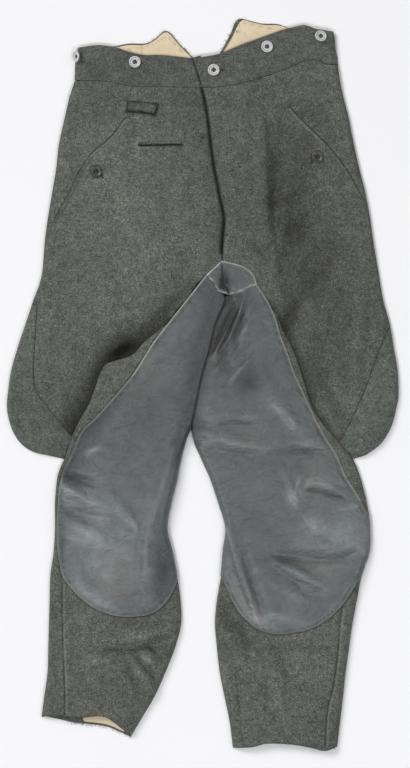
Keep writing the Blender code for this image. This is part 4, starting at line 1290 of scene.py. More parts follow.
fly_low = [f for f in fly if f[1] < 445]
fly_lap = np.interp([-p[1] for p in fly_low], [-f.y for f in FLY], [f.lap for f in FLY])
edge_right = smooth(LEATHER_RIGHT)
edge_left = smooth(LEATHER_LEFT)
edge_left_end = smooth(LEATHER_LEFT_END)
saddle_right = smooth(SADDLE_SEAM_RIGHT)
saddle_left = smooth(SADDLE_SEAM_LEFT)
saddle_top_right = smooth(SADDLE_TOP_RIGHT)
saddle_top_left = smooth(SADDLE_TOP_LEFT)
above_right = [p for p in edge_right if p[1] > 94.6] + [(-51.0, 94.0)]
above_left = [p for p in edge_left if p[1] > 120.6] + [(100.0, 120.0)]
insert_right_line = [(-262.0, 126.0)] + smooth(INSERT_RIGHT)
insert_left_line = smooth(INSERT_LEFT)
pocket_right = smooth(POCKET_RIGHT)
pocket_left = smooth(POCKET_LEFT)
side_seam_right = smooth(SIDE_SEAM_RIGHT)
side_seam_left = smooth(SIDE_SEAM_LEFT)
inner_seam_left = smooth(INNER_SEAM_LEFT)

pieces = []


def laid(made, nodes, slot_name, sheet=True):
    """Put a finished piece on the model's frame."""
    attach(made, "root")
    if nodes:
        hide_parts(*nodes)
    pieces.append((made, sheet))
    return made


# Kinds of piece: how its name ends after its node's, its finish, the lower and
# upper side against the cloth's surface, its slot, and whether it is a sheet.
Kind = namedtuple("Kind", "ending finish inner outer slot sheet")
TAB_RISE = 0.4
WOOLLEN = Kind("_cloth", WOOL_CLOTH, -WOOL, 0, "wool", True)
BANDED = Kind("_cloth", WOOL_CLOTH, -BAND, 0, "wool", True)
INSERTED = Kind("_cloth", INSERT_CLOTH, -WOOL, 0, "wool_insert", True)
LINED = Kind("_cloth", LINING_CLOTH, -LINING, 0, "lining", True)
LEATHERN = Kind("_skin", LEATHER_SKIN, GAP, GAP + LEATHER, "leather", True)
WELTED = Kind("_cloth", WOOL_CLOTH, GAP, GAP + WELT, "wool", False)
TABBED = Kind("_cloth", WOOL_CLOTH, GAP, GAP + WELT + TAB_RISE, "wool", False)


def cut(cloth, node, kind, **shape):
    """A piece cut from a cloth, in place of the CAD node that it dresses."""
    made = cloth.piece(node + kind.ending, kind.finish, kind.inner, kind.outer, **shape)
    return laid(made, [node], kind.slot, kind.sheet)


def welt_slope(mouth):
    """How a pocket welt thins away from the mouth."""
    return lambda p: -0.75 * WELT * np.clip(near(p, mouth)[0] / WELT_W, 0, 1)


def seats(carrier):
    """Places of the buttons that a piece carries."""
    return [(b.x, b.y) for b in BUTTONS if b.carrier == carrier]


def fold_column(folds, line, name):
    """A fold table's column at each point of its smoothed line."""
    along = near(np.array(line), folds)[1]
    return between(along, [getattr(f, name) for f in folds])


# Backs, flat on the surface.
centre = smooth([(3, 470), (12, 380), (23, 250), (30, 138)])
lapped = [p for p in inseam if p[1] > -62]
hem_back = smooth(HEM_RIGHT_BACK)
back_right_loop = join(
    [(3, 446)],
    [p for p in centre if p[1] < 446],
    inseam,
    in_right,
    hem_back[::-1],
    out_right[::-1],
    side_right[::-1],
    [(-191, 446)],
)
back_left_loop = join(
    [(3.6, 446)],
    [(202, 470)],
    side_left,
    out_left,
    smooth(HEM_LEFT)[::-1],
    in_left[:0:-1],
    [(x + 0.8, y) for x, y in lapped[::-1]],
    [(x + 0.8, y) for x, y in centre if y < 446][::-1],
)


def back_cloth(loop, seams):
    """A back half: its folds rise off the surface, its rim lies on it."""

    def height(p):
        inward = np.clip((near(p, loop + loop[:1])[0] - 14) / 26, 0, 1)
        return WOOL + inward * (creased(p, BACK_CREASES) + 0.25 + wavy(p, 40, 0.25, 3.0))

    return Cloth(loop, (), [(s, SEAM_ROWS) for s in seams], height, lambda p: np.zeros(len(p)), cell=5.0)


back_side_right = smooth(BACK_SEAM_RIGHT)
back_side_left = smooth(BACK_SEAM_LEFT)
back_right = back_cloth(back_right_loop, [back_side_right])
back_left = back_cloth(back_left_loop, [back_side_left])
cut(back_right, "back_right", WOOLLEN, marks=[shade_and_dirt(back_side_right, 1.2, 0.7)])
cut(back_left, "back_left", WOOLLEN, marks=[shade_and_dirt(back_side_left, 1.2, 0.7)])


def flat_cloth(loop, low, thick, swell=0.0, size=20.0, seed=1.0, cell=CELL, creases=()):
    """A small flat piece of cloth with a slight swelling of its own."""

    def height(p):
        rise = np.maximum(wavy(p, size, swell, seed), 0) if swell else 0
        return low + thick + rise + np.maximum(creased(p, creases), 0)

    return Cloth(loop, (), (), height, lambda p: np.full(len(p), low), cell=cell)


tail_right_line, tail_left_line = smooth(TAIL_RIGHT), smooth(TAIL_LEFT)
tail_right_loop = join(tail_right_line, [(-1, 482), (3, 470), (3, 446.1), (-191, 446.1)])
tail_left_loop = join([(3.6, 446.1), (3.6, 470), (10, 482)], tail_left_line, [(202, 490), (202, 470.6)])
tail_right = flat_cloth(tail_right_loop, 0.0, WOOL)
tail_left = flat_cloth(tail_left_loop, 0.0, WOOL)
cut(tail_right, "back_tail_right", WOOLLEN)
cut(tail_left, "back_tail_left", WOOLLEN)

TAIL_FOLDS_RIGHT = table(
    Crease,
    (-104, 500, -60, 522, 4, 4, 0.9),
    (-52, 526, -30, 500, -3, 4, 0.8),
    (-80, 505, -46, 508, 4, 5, 0.7),
)
TAIL_FOLDS_LEFT = table(
    Crease,
    (44, 520, 60, 544, 3, 4, 0.9),
    (60, 516, 110, 534, 6, 5, 1.0),
    (36, 506, 66, 530, -4, 4, 0.8),
    (90, 520, 140, 530, -4, 5, 0.7),
)
LINING_CELL = 3.0
lining_top_left = [
    (x + 2.4 + max(0, (y - 500) / 15) * (x < 58), y - 2.0)
    for x, y in tail_left_line
    if 24 < x < 150
]
lining_right_loop = join([(x, y - 2.2) for x, y in tail_right_line if x > -150], [(-20, 478), (-150, 486)])
lining_left_loop = join([(26, 484)], lining_top_left, [(152, 515), (80, 500)])
lining_hem_loop = join(
    [(-180, -480), (-180, -502)],
    [(x, y + 3.2) for x, y in hem_back if -178 < x < -118],
    [(-116, -516), (-124, -494), (-160, -480)],
)
lining_right = flat_cloth(lining_right_loop, FLOOR, LINING, 0.7, 14.0, 2.0, LINING_CELL, TAIL_FOLDS_RIGHT)
lining_left = flat_cloth(lining_left_loop, FLOOR, LINING, 0.7, 14.0, 5.0, LINING_CELL, TAIL_FOLDS_LEFT)
lining_hem = flat_cloth(lining_hem_loop, FLOOR, LINING, 0.8, 12.0, 7.0, LINING_CELL)
lining_marks = [
    shade_and_dirt([(-54, 523), (-72, 512), (-90, 505), (-112, 507)], 0.7, 0.35),
    shade_and_dirt([(-54, 523), (-40, 509), (-26, 492)], 0.7, 0.35),
    shade_and_dirt([(-91, 512), (-91, 504), (-91.5, 496)], 0.8, 0.4),
    shade_and_dirt([(-116, 500), (-112, 503), (-108, 502), (-107, 498)], 0.6, 0.5),
    shade_and_dirt([(-67, 504), (-66, 504)], 0.8, 0.7),
    shade_and_dirt([(57, 543), (44, 521), (30, 499)], 0.7, 0.5),
    shade_and_dirt([(60, 543), (98, 535), (124, 532)], 0.7, 0.4),
    shade_and_dirt([(50, 534), (53, 535), (55, 532), (53, 529), (51, 530)], 0.7, 0.8),
    shade_and_dirt([(62, 528), (64, 528)], 0.8, 0.75),
    shade_and_dirt([(86, 524), (87, 523)], 0.7, 0.6),
    Patch(70, 515, 30, 14, 30, -0.08),
    Patch(-60, 500, 30, 10, 0, -0.07),
]
cut(lining_right, "tail_lining_right", LINED, marks=lining_marks)
cut(lining_left, "tail_lining_left", LINED, marks=lining_marks)
cut(lining_hem, "hem_lining_right", LINED)

# Right front: hip and flare.
lap_right = fold_column(FOLD_RIGHT, fold_right, "lap")
under_right = fold_column(FOLD_RIGHT, fold_right, "under")
flare_edge = shifted(fold_right, lap_right)
fly_edge = shifted(fly_low, fly_lap)
front_right_loop = join(
    top_side_right,
    flare_edge[::-1],
    above_right[::-1],
    saddle_right,
    crotch[::-1],
    fly_edge[::-1],
    [(10.6, 446)],
    [p for p in seam_right if p[0] < 2][::-1],
)
FRONT_SEAMS_RIGHT = ((seam_right, 1.8, 0.3), (insert_right_line, 1.7, 0.6), (saddle_top_right, 2.0, 0.6))


def past_fly(p):
    """Which points lie on the left of the fly's free edge."""
    edge = np.interp(-p[:, 1], [-f.y for f in FLY], [f.x for f in FLY])
    return (p[:, 0] > edge - 1) & (p[:, 1] > FLY_BOTTOM)


def tucked(p, z, fold, under, leg, width):
    """Height of a flare eased down to the fold of its leg, and low beneath it."""
    low = between(near(p, fold)[1], under)
    z = np.where(inside(p, leg), low, sunk(p, z, fold, under, width))
    return np.maximum(z, FLOOR + WOOL + 0.05)


def front_right_height(p):
    """Height of the right front, low beneath the fly and the leg's fold."""
    z = REST + FOLD * creased(p, CREASES_RIGHT) + creased(p, FINE_RIGHT) + wavy(p, 34, 0.6, 11.0)
    z = crowned(p, z + draped(p, DRAPES_RIGHT), [top_side_right, seam_right], *FRONT_CROWN)
    z = grooved(p, z, FRONT_SEAMS_RIGHT)
    z = sunk(p, z, fly, FLY_UNDER, 26)
    z = np.where(past_fly(p), FLY_UNDER, z)
    z = tucked(p, z, fold_right, under_right, leg_right_loop, 30)
    return rolled(p, z, top_side_right, FLOOR)


def leg_right_floor(p):
    """Lowest level of the right leg front, above the flare and the left thigh."""
    low = np.full(len(p), FLOOR)
    d, along = near(p, fold_right)
    over = d < between(along, lap_right) + FOLD_CLEAR
    low = np.where(over, between(along, under_right) + 2 * GAP, low)
    over = (near(p, inseam)[0] < 12) & (p[:, 1] > -72)
    return np.where(over, np.maximum(low, CROTCH_UNDER + LEATHER + 3 * GAP), low)


def leg_right_height(p):
    """Height of the right thigh, knee and calf."""
    z = REST + 0.6 + FOLD * creased(p, CREASES_RIGHT) + creased(p, FINE_RIGHT) + wavy(p, 30, 0.6, 13.0)
    z += LEG_DRAPE * draped(p, DRAPES_RIGHT)
    z = crowned(p, z, [fold_right, out_right, in_right, inseam], *LEG_CROWN)
    z = grooved(p, z, ((side_seam_right, 2.0, 0.9),))
    z = rolled(p, z, fold_right, np.array(under_right) + 1.0, 7)
    z = rolled(p, z, out_right, FLOOR)
    z = rolled(p, z, in_right, FLOOR)
    return rolled(p, z, inseam, inseam_low, 7)


leg_right_loop = join(
    above_right,
    fold_right,
    out_right,
    smooth(HEM_RIGHT),
    in_right[::-1],
    inseam[::-1],
    saddle_right[::-1],
)
welt_right = join(pocket_right, shifted(pocket_right, WELT_W)[::-1])
fob_line = smooth(FOB)
fob_welt = join(fob_line, shifted(fob_line, FOB_W)[::-1])
tab = join(TAB)
front_right = Cloth(
    front_right_loop,
    [
        insert_right_line,
        saddle_top_right,
        welt_right + welt_right[:1],
        fob_welt + fob_welt[:1],
        tab + tab[:1],
        [q for q, lap in zip(fold_right, lap_right) if lap > 3],
    ],
    rowed(EDGE_ROWS, top_side_right)
    + rowed(BESIDE_ROWS, insert_right_line, seam_right, saddle_top_right, pocket_right)
    + rowed(EDGE_ROWS, fly_low),
    front_right_height,
    lambda p: np.full(len(p), FLOOR),
    flats=seats("front_right"),
)
insert_right_side = join(insert_right_line, [(-184, -130), (-330, -130), (-330, 128)])
saddle_right_side = join([(28, 186), (4, 164)], saddle_right, crotch[::-1])
fly_hook = [(22, 304), (23.5, 294), (25.5, 284), (28.5, 279), (31, 282)]
# Dark seam lines, painted shade in the pocket mouth and fob slit, along the leg's fold, beside the fly,
# under the tab and at the rolled side, and patches of painted shade and painted light on the hip and
# flare.
front_marks_right = [
    shade_and_dirt(seam_right, 1.0, 0.05),
    shade_and_dirt(insert_right_line, 1.0, 0.4),
    shade_and_dirt(pocket_right, 0.9, 0.7),
    shade_and_dirt(fob_line, 0.8, 1.2),
    rub_and_highlight([(-97.5, 371), (-97.5, 355)], 0.8, 0.6),
    rub_and_highlight([(x, y - 2.6) for x, y in fob_line], 0.8, 0.4),
    rub_and_highlight(shifted(pocket_right[:20], 6.4), 1.2, 0.36),
    shade_and_dirt(tab[2:6], 3.0, 1.2),
    shade_and_dirt(tab + tab[:1], 1.0, 0.5),
    shade_and_dirt([(x - 2.0, y) for x, y in fly if y > 196], 3.2, 1.15),
    shade_and_dirt(fold_right, 11.0, 0.8),
    shade_and_dirt(top_side_right, 2.0, 0.4),
    shade_and_dirt(fly_hook, 1.0, 0.9),
] + table(
    Patch,
    (-119, 60, 34, 24, 40, -0.6),
    (-158, 12, 50, 22, 50, -0.4),
    (-198, -54, 44, 18, 60, -0.4),
    (-58, 113, 60, 11, 45, -0.5),
    (-120, 250, 110, 76, 80, 0.29),
    (27, 238, 26, 7, 85, -0.3),
    (-128, 352, 16, 14, 0, -0.12),
    (-125, 50, 30, 9, 25, -0.35),
    (-150, 420, 40, 30, 0, -0.16),
    (-20, 420, 60, 14, 95, -0.12),
)
cut(front_right, "front_right", WOOLLEN, without=[insert_right_side], marks=front_marks_right)
cut(front_right, "flare_insert_right", INSERTED, regions=[insert_right_side], marks=front_marks_right[:2])
# Pale cut edges, and painted shade in the hollow between the saddles.
saddle_marks_right = [
    rub_and_highlight(saddle_top_right, 1.7, 1.15),
    rub_and_highlight(saddle_right, 1.5, 0.8),
    Patch(30, 152, 18, 7, 85, -0.7),
]
cut(front_right, "saddle_leather_right", LEATHERN, regions=[saddle_right_side], marks=saddle_marks_right)
# Painted shade in the pocket mouth, a dark line along the welt and a pale line.
welt_marks_right = [
    shade_and_dirt(pocket_right, 0.9, 0.8),
    shade_and_dirt(shifted(pocket_right[:20], 4.4), 0.9, 0.5),
    rub_and_highlight(shifted(pocket_right[:20], 2.8), 1.0, 0.36),
]
cut(
    front_right,
    "pocket_welt_right",
    WELTED,
    regions=[welt_right],
    swell=welt_slope(pocket_right),
    marks=welt_marks_right,
)
cut(front_right, "fob_welt_right", WELTED, regions=[fob_welt], marks=[shade_and_dirt(fob_line, 0.9, 1.2)])
# Painted shade round the tab's edges, and a faint darker patch.
tab_marks = [shade_and_dirt(tab + tab[:1], 1.3, 0.85), Patch(-92, 416, 30, 20, 0, -0.1)]
cut(front_right, "belt_tab_right", TABBED, regions=[tab], marks=tab_marks)

# Right leg front with its leather.
leg_right = Cloth(
    leg_right_loop,
    [[p for p in edge_right if p[1] < 94.5]],
    rowed(EDGE_ROWS, fold_right, out_right, in_right, inseam)
    + rowed(BESIDE_ROWS, edge_right)
    + rowed(SEAM_ROWS, side_seam_right)
    + rowed(BESIDE_ROWS, saddle_right)
    + [(smooth(f.line, 3), SEAM_ROWS) for f in DRAPES_RIGHT[4:]],
    leg_right_height,
    leg_right_floor,
    cell=3.2,
)
knee_right = join(
    [(4, 164)],
    edge_right,
    [(-20, -286), (60, -180), (60, 60), (45, 138), (30, 138)],
    saddle_right[::-1],
)
# A dark side seam with a pale line beside it, painted shade beside the leather's edge and at the hem, and
# patches of painted shade and painted light on the calf's folds.
leg_marks_right = [
    shade_and_dirt(side_seam_right, 1.1, 0.85),
    rub_and_highlight(shifted(side_seam_right, 2.4), 1.0, 0.3),
    shade_and_dirt(edge_right, 2.2, 0.55),
    shade_and_dirt(smooth(HEM_RIGHT), 2.0, 0.4),
] + table(
    Patch,
    (-106, -397, 60, 6, 4, -0.4),
    (-104, -376, 50, 8, 8, 0.2),
    (-84, -412, 24, 5, -45, 0.5),
    (-98, -428, 34, 5, -58, 0.4),
    (-158, -413, 34, 6, 20, 0.35),
    (-88, -450, 34, 5, -80, 0.25),
    (-76, -398, 18, 4, -40, -0.35),
    (-88, -424, 26, 3.5, -52, -0.35),
    (-190, -430, 12, 24, 0, -0.2),
    (-150, -450, 26, 9, 70, -0.16),
    (-180, -390, 70, 30, 85, 0.12),
    (-90, -450, 50, 12, -50, -0.15),
    (-222, -400, 80, 8, 88, -0.1),
)
cut(leg_right, "leg_front_right", WOOLLEN, marks=leg_marks_right)
# Pale cut edge, painted shade along the inseam, a dark saddle seam, painted highlight along the knee's
# crest, a dark line at the stitching, and patches of painted highlight and painted shade on the folds.
leather_marks_right = [
    rub_and_highlight([q for q in edge_right if q[1] > 15], 1.2, 0.75),
    rub_and_highlight(edge_right, 1.0, 0.22),
    shade_and_dirt(inseam, 23.0, 0.6),
    shade_and_dirt(saddle_right, 1.2, 0.5),
    shade_and_dirt(inseam, 2.4, 0.45),
    rub_and_highlight([(-46, -96), (-56, -138), (-66, -170), (-77, -204), (-85, -240), (-87, -286)], 2.6, 0.13),
    shade_and_dirt(shifted(edge_right, 5.0)[2:], 0.9, 0.7),
] + table(
    Patch,
    (-62, -262, 60, 18, 84, -0.26),
    (-200, -133, 18, 12, -10, -0.4),
    (-168, -146, 30, 7, -10, -0.25),
    (-154, -50, 50, 12, 40, -0.22),
    (-168, -176, 26, 6, -22, 0.35),
    (-205, -160, 12, 6, -20, 0.4),
    (-160, -228, 34, 9, -26, 0.4),
    (-108, -204, 24, 6, -40, 0.2),
    (-112, -224, 20, 6, -15, 0.2),
    (-205, -192, 20, 10, 0, -0.2),
    (-170, -285, 34, 26, 30, 0.15),
    (-146, -240, 66, 96, 0, 0.32),
    (-58, -290, 40, 14, 85, -0.15),
    (-187, -98, 44, 16, 60, -0.22),
    (-158, -320, 28, 8, -32, 0.4),
    (-210, -238, 24, 5, 85, -0.35),
    (-163, -99, 14, 4, 15, 0.45),
    (-34, 10, 90, 12, 76, 0.06),
    (-8, 50, 66, 14, 76, -0.12),
)
cut(leg_right, "leg_leather_right", LEATHERN, regions=[knee_right], marks=leather_marks_right)

# Left front: hip and flare, its fly edge over the right front.
lap_left = fold_column(FOLD_LEFT, fold_left, "lap")
under_left = fold_column(FOLD_LEFT, fold_left, "under")
flare_edge_left = shifted(fold_left, -lap_left)
front_left_loop = join(
    fly_low[:1],
    [(-1, 446)],
    [p for p in seam_left if p[0] > 2],
    top_side_left,
    flare_edge_left[::-1],
    above_left[::-1],
    saddle_left,
    crotch[::-1],
    fly_low[::-1],
)
hidden = [(x - 5.0, y) for x, y in inseam if -62 < y < 134]
leg_left_loop = join(
    above_left,
    fold_left,
    out_left,
    smooth(HEM_LEFT)[::-1],
    in_left[:0:-1],
    hidden[::-1],
    [crotch_point],
    saddle_left[::-1],
)
FRONT_SEAMS_LEFT = ((seam_left, 1.8, 0.4), (insert_left_line, 1.7, 0.6), (saddle_top_left, 2.0, 0.6))


def fly_side(p, z, lift):
    """Rise of the left side where it passes over the right."""
    d = near(p, fly)[0]
    top = np.clip((p[:, 1] - 186) / 40, 0, 1)
    return z + lift * top * np.exp(-((d / 34) ** 2))


def front_left_height(p):
    """Height of the left front, which passes over the right one at the fly."""
    z = REST + FOLD * creased(p, CREASES_LEFT) + creased(p, FINE_LEFT) + wavy(p, 34, 0.6, 17.0)
    z = crowned(p, z + draped(p, DRAPES_LEFT), [top_side_left, seam_left], *FRONT_CROWN)
    z = fly_side(p, z, 2.0)
    z = grooved(p, z, FRONT_SEAMS_LEFT)
    z = tucked(p, z, fold_left, under_left, leg_left_loop, 16)
    z = rolled(p, z, fly, FLY_UNDER + 1.5, 5)
    z = sunk(p, z, [crotch_point, (39, 135.1)], 6.4, 16)
    return rolled(p, z, top_side_left, FLOOR)


def front_left_floor(p):
    """Lowest level of the left front, above the right one at the fly."""
    over = (near(p, fly)[0] < FLY_UNDERLAP + FLY_CLEAR) & (p[:, 1] > FLY_BOTTOM)
    return np.where(over, FLY_UNDER + GAP + 0.4, FLOOR)


def leg_left_height(p):
    """Height of the left thigh, knee and calf, low beneath the right thigh."""
    z = REST + 0.4 + FOLD * creased(p, CREASES_LEFT) + creased(p, FINE_LEFT) + wavy(p, 30, 0.6, 19.0)
    z += LEG_DRAPE * draped(p, DRAPES_LEFT)
    z = crowned(p, z, [fold_left, out_left, in_left, hidden], *LEG_CROWN)
    z = grooved(p, z, ((side_seam_left, 2.0, 0.9), (inner_seam_left, 2.0, 0.5)))
    z = sunk(p, z, hidden, CROTCH_UNDER, 30)
    z = sunk(p, z, [crotch_point, (39, 134)], CROTCH_UNDER, 26)
    z = np.where(inside(p, leg_right_loop), np.minimum(z, CROTCH_UNDER), z)
    z = rolled(p, z, fold_left, np.array(under_left) + 1.0, 7)
    z = rolled(p, z, out_left, FLOOR)
    z = rolled(p, z, in_left, FLOOR)
    return np.maximum(z, FLOOR)


def leg_left_floor(p):
    """Lowest level of the left leg front, above the flare."""
    d, along = near(p, fold_left)
    over = d < between(along, lap_left) + FOLD_CLEAR
    return np.where(over, between(along, under_left) + 2 * GAP, FLOOR)


welt_left = join(pocket_left, shifted(pocket_left, -WELT_W)[::-1])
front_left = Cloth(
    front_left_loop,
    [
        insert_left_line,
        saddle_top_left,
        welt_left + welt_left[:1],
        [q for q, lap in zip(fold_left, lap_left) if lap > 3],
    ],
    rowed(EDGE_ROWS, top_side_left, fly_low)
    + rowed(BESIDE_ROWS, insert_left_line, seam_left, saddle_top_left, pocket_left),
    front_left_height,
    front_left_floor,
    flats=seats("front_left"),
)
insert_left_side = join(insert_left_line, [(193, -130), (330, -130), (330, 90)])
saddle_left_side = join(saddle_top_left, saddle_left, crotch[::-1])
# Dark seam lines, painted shade in the pocket mouth, along the leg's fold, at the fly's edge and at the
# rolled side, and patches of painted shade and painted light on the hip and flare.
front_marks_left = [
    shade_and_dirt(seam_left, 1.0, 0.15),
    shade_and_dirt(insert_left_line, 1.0, 0.4),
    shade_and_dirt(pocket_left, 0.9, 0.7),
    shade_and_dirt(fold_left, 8.0, 0.65),
    shade_and_dirt(fly_low, 1.6, 1.05),
    shade_and_dirt(top_side_left, 2.0, 0.4),
    shade_and_dirt(fly_hook, 1.0, 0.9),
] + table(
    Patch,
    (140, 320, 104, 38, 82, -0.32),
    (134, 208, 84, 34, 95, -0.24),
    (126, 280, 26, 9, 25, -0.2),
    (148, 234, 28, 9, 85, -0.24),
    (127, 226, 36, 7, 80, -0.18),
    (158, 194, 30, 8, 60, -0.16),
    (140, 262, 14, 7, 30, 0.12),
    (108, 330, 60, 10, 88, -0.3),
    (127, 92, 34, 14, 75, -0.45),
    (27, 238, 26, 7, 85, -0.3),
    (70, 412, 34, 9, 85, -0.2),
    (102, 268, 34, 7, 88, -0.3),
    (185, 185, 54, 14, 80, -0.15),
    (230, 70, 90, 7, 87, 0.2),
    (186, -16, 60, 10, -58, -0.22),
    (158, 146, 60, 13, 58, -0.32),
    (172, 60, 90, 24, 82, -0.12),
    (200, 70, 130, 60, 82, -0.15),
    (243, 60, 80, 5, 85, -0.22),
    (86, 200, 22, 6, -50, -0.2),
)
cut(front_left, "front_left", WOOLLEN, without=[insert_left_side], marks=front_marks_left)
cut(front_left, "flare_insert_left", INSERTED, regions=[insert_left_side], marks=front_marks_left[:2])
# Pale cut edges, painted shade along the crotch and in the hollow between the saddles.
saddle_marks_left = [
    rub_and_highlight(saddle_top_left, 1.7, 1.15),
    rub_and_highlight(saddle_left, 1.5, 0.8),
    shade_and_dirt(crotch, 1.6, 0.8),
    Patch(32, 150, 20, 7, 85, -0.6),
]
cut(front_left, "saddle_leather_left", LEATHERN, regions=[saddle_left_side], marks=saddle_marks_left)
# Painted shade in the pocket mouth, a dark line along the welt, a pale line, and a broad patch of painted
# shade over the hip.
welt_marks_left = [
    shade_and_dirt(pocket_left, 0.9, 0.8),
    rub_and_highlight(shifted(pocket_left[:20], -2.8), 1.0, 0.24),
    shade_and_dirt(shifted(pocket_left[:20], -4.4), 0.9, 0.45),
    Patch(120, 300, 160, 110, 80, -0.1),
]
cut(
    front_left, "pocket_welt_left", WELTED,
    regions=[welt_left],
    swell=welt_slope(pocket_left),
    marks=welt_marks_left,
)

# Left leg front with its leather.
leg_left = Cloth(
    leg_left_loop,
    [
        [p for p in edge_left if p[1] < 120.5] + [LEATHER_LEFT_MEETS],
        edge_left_end,
        [p for p in inseam if -50 < p[1] < 120],
    ],
    rowed(EDGE_ROWS, fold_left, out_left, in_left, hidden)
    + rowed(BESIDE_ROWS, edge_left, edge_left_end)
    + rowed(SEAM_ROWS, side_seam_left, inner_seam_left)
    + [(smooth(f.line, 3), SEAM_ROWS) for f in DRAPES_LEFT[9:]],
    leg_left_height,
    leg_left_floor,
    cell=3.2,
)
# Dark seams with a pale line beside the side seam, painted shade beside the leather's lower edge and at
# the hem, and patches of painted shade and painted light.
leg_marks_left = [
    shade_and_dirt(side_seam_left, 1.1, 0.9),
    rub_and_highlight(shifted(side_seam_left, 2.4), 1.0, 0.3),
    shade_and_dirt(inner_seam_left, 1.0, 0.5),
    shade_and_dirt(edge_left_end, 2.2, 0.55),
    shade_and_dirt(smooth(HEM_LEFT), 2.0, 0.4),
] + table(
    Patch,
    (52, -366, 44, 12, -50, -0.4),
    (140, -394, 44, 10, 0, -0.14),
    (66, -526, 22, 12, 0, -0.15),
    (100, -436, 70, 14, -58, 0.2),
    (160, -450, 80, 30, 85, 0.05),
)
cut(leg_left, "leg_front_left", WOOLLEN, marks=leg_marks_left)
knee_left = join(
    [(81, 150)],
    edge_left,
    [(300, -195), (300, -262)],
    edge_left_end,
    [(-60, -286), (-60, 135), (39, 135)],
    saddle_left[::-1],
)
# Pale cut edges, painted shade over the crotch, along the inseam and in its wrinkles, dark lines at the
# stitching, painted highlight along the shin's crests, and patches of painted highlight and painted shade
# on the folds.
leather_marks_left = [
    rub_and_highlight([q for q in edge_left if q[1] > -175], 1.2, 0.75),
    rub_and_highlight(edge_left, 1.0, 0.2),
    rub_and_highlight(edge_left_end, 1.0, 0.12),
    shade_and_dirt([q for q in inseam if q[1] > 50], 26.0, 0.8),
    shade_and_dirt(inseam, 11.0, 0.55),
    shade_and_dirt([(60, 122), (45, 98), (26, 64)], 1.5, 0.75),
    shade_and_dirt([(74, 112), (57, 84), (42, 58)], 1.3, 0.6),
    shade_and_dirt([(77, 50), (56, 26), (31, -3)], 1.4, 0.5),
    shade_and_dirt([(54, 62), (36, 36), (16, 14)], 1.4, 0.5),
    shade_and_dirt(inseam, 5.0, 0.5),
    shade_and_dirt(shifted(edge_left, -5.0)[1:], 0.9, 0.7),
    shade_and_dirt(shifted(edge_left_end, -5.0)[1:-1], 0.9, 0.7),
    rub_and_highlight(shifted(edge_left_end, -7.5)[2:-2], 1.6, 0.1),
    rub_and_highlight([(37, -214), (46, -250), (57, -285), (69, -318), (80, -350), (87, -364)], 1.5, 0.3),
    rub_and_highlight([(52, -246), (62, -275), (76, -313), (89, -344), (96, -356)], 1.5, 0.22),
] + table(
    Patch,
    (38, 94, 52, 18, 66, -0.42),
    (24, 52, 40, 14, 66, -0.2),
    (8, 12, 40, 12, 75, -0.12),
    (-4, -66, 22, 12, -70, -0.3),
    (66, 2, 16, 14, 0, -0.2),
    (74, 16, 46, 36, -60, -0.12),
    (44, -88, 44, 8, -8, 0.35),
    (122, -42, 36, 8, -48, 0.3),
    (158, -88, 14, 6, 0, 0.3),
    (72, -47, 16, 4, 0, 0.25),
    (134, -168, 12, 9, 80, 0.4),
    (184, -147, 30, 5, -5, 0.35),
    (190, -165, 30, 4, -15, -0.3),
    (206, -236, 44, 24, 66, 0.36),
    (186, -150, 22, 18, 0, 0.18),
    (92, 62, 34, 14, -70, 0.14),
    (56, -318, 44, 9, -64, 0.22),
    (171, -217, 34, 20, 0, 0.14),
    (166, -212, 14, 12, 0, 0.25),
    (120, -264, 26, 8, -10, -0.3),
    (208, -262, 26, 5, 8, -0.2),
    (150, -288, 30, 6, -28, 0.35),
    (128, -312, 24, 5, -25, 0.2),
    (116, -348, 34, 7, -10, 0.36),
    (184, -232, 76, 84, 0, 0.1),
    (92, -354, 14, 7, -30, 0.5),
    (120, 84, 50, 14, -62, 0.12),
)
cut(leg_left, "leg_leather_left", LEATHERN, regions=[knee_left], marks=leather_marks_left)

# Waistband: the right half ends under the left half.
band_fly = smooth([(-15, 490), (-6, 464), (-1, 446.5)])
band_right_loop = join(
    [(-192, 488), (-188, 506)],
    smooth([(w.x, w.top) for w in WAIST_RIGHT if w.x < 0]),
    shifted(band_fly, FLY_UNDERLAP),
    [(x, y + 0.05) for x, y in seam_right if x < 2][::-1],
    [(-193, 456.5)],
)
band_left_loop = join(
    band_fly[::-1],
    smooth([(w.x, w.top) for w in WAIST_LEFT])[1:],
    [(198, 520), (201, 490), (203, 481)],
    [(x, y + (0.05 if x < 178 else 0.4)) for x, y in seam_left if 2 < x < 200][::-1],
)
band_top_right = smooth([(w.x, w.top) for w in WAIST_RIGHT])
band_top_left = smooth([(w.x, w.top) for w in WAIST_LEFT])


def band_right_height(p):
    """Height of the right waistband, low beneath the left one."""
    z = REST + wavy(p, 26, 0.3, 23.0)
    z = grooved(p, z, ((seam_right, 1.8, 0.3),))
    z = sunk(p, z, fly, FLY_UNDER, 26)
    z = np.where(past_fly(p), FLY_UNDER, z)
    z = rolled(p, z, [(-188, 506), (-192, 488), (-193, 456)], FLOOR)
    return rolled(p, z, band_top_right, *WAIST_EDGE)


def band_left_height(p):
    """Height of the left waistband, which passes over the right one."""
    z = fly_side(p, REST + wavy(p, 26, 0.3, 29.0), 2.6)
    z = grooved(p, z, ((seam_left, 1.8, 0.4),))
    z = rolled(p, z, band_fly, FLY_UNDER + 1.8, 4)
    z = rolled(p, z, [(198, 530), (201, 490), (203, 480)], FLOOR)
    return rolled(p, z, band_top_left, *WAIST_EDGE)


def band_floor(p):
    """Lowest level of a waistband, above the tail's lining."""
    lift = np.where(p[:, 1] > 470, FLOOR + LINING + GAP, FLOOR)
    edge = (p[:, 0] < -176) | (p[:, 0] > 188)
    return np.where(edge, FLOOR, lift)


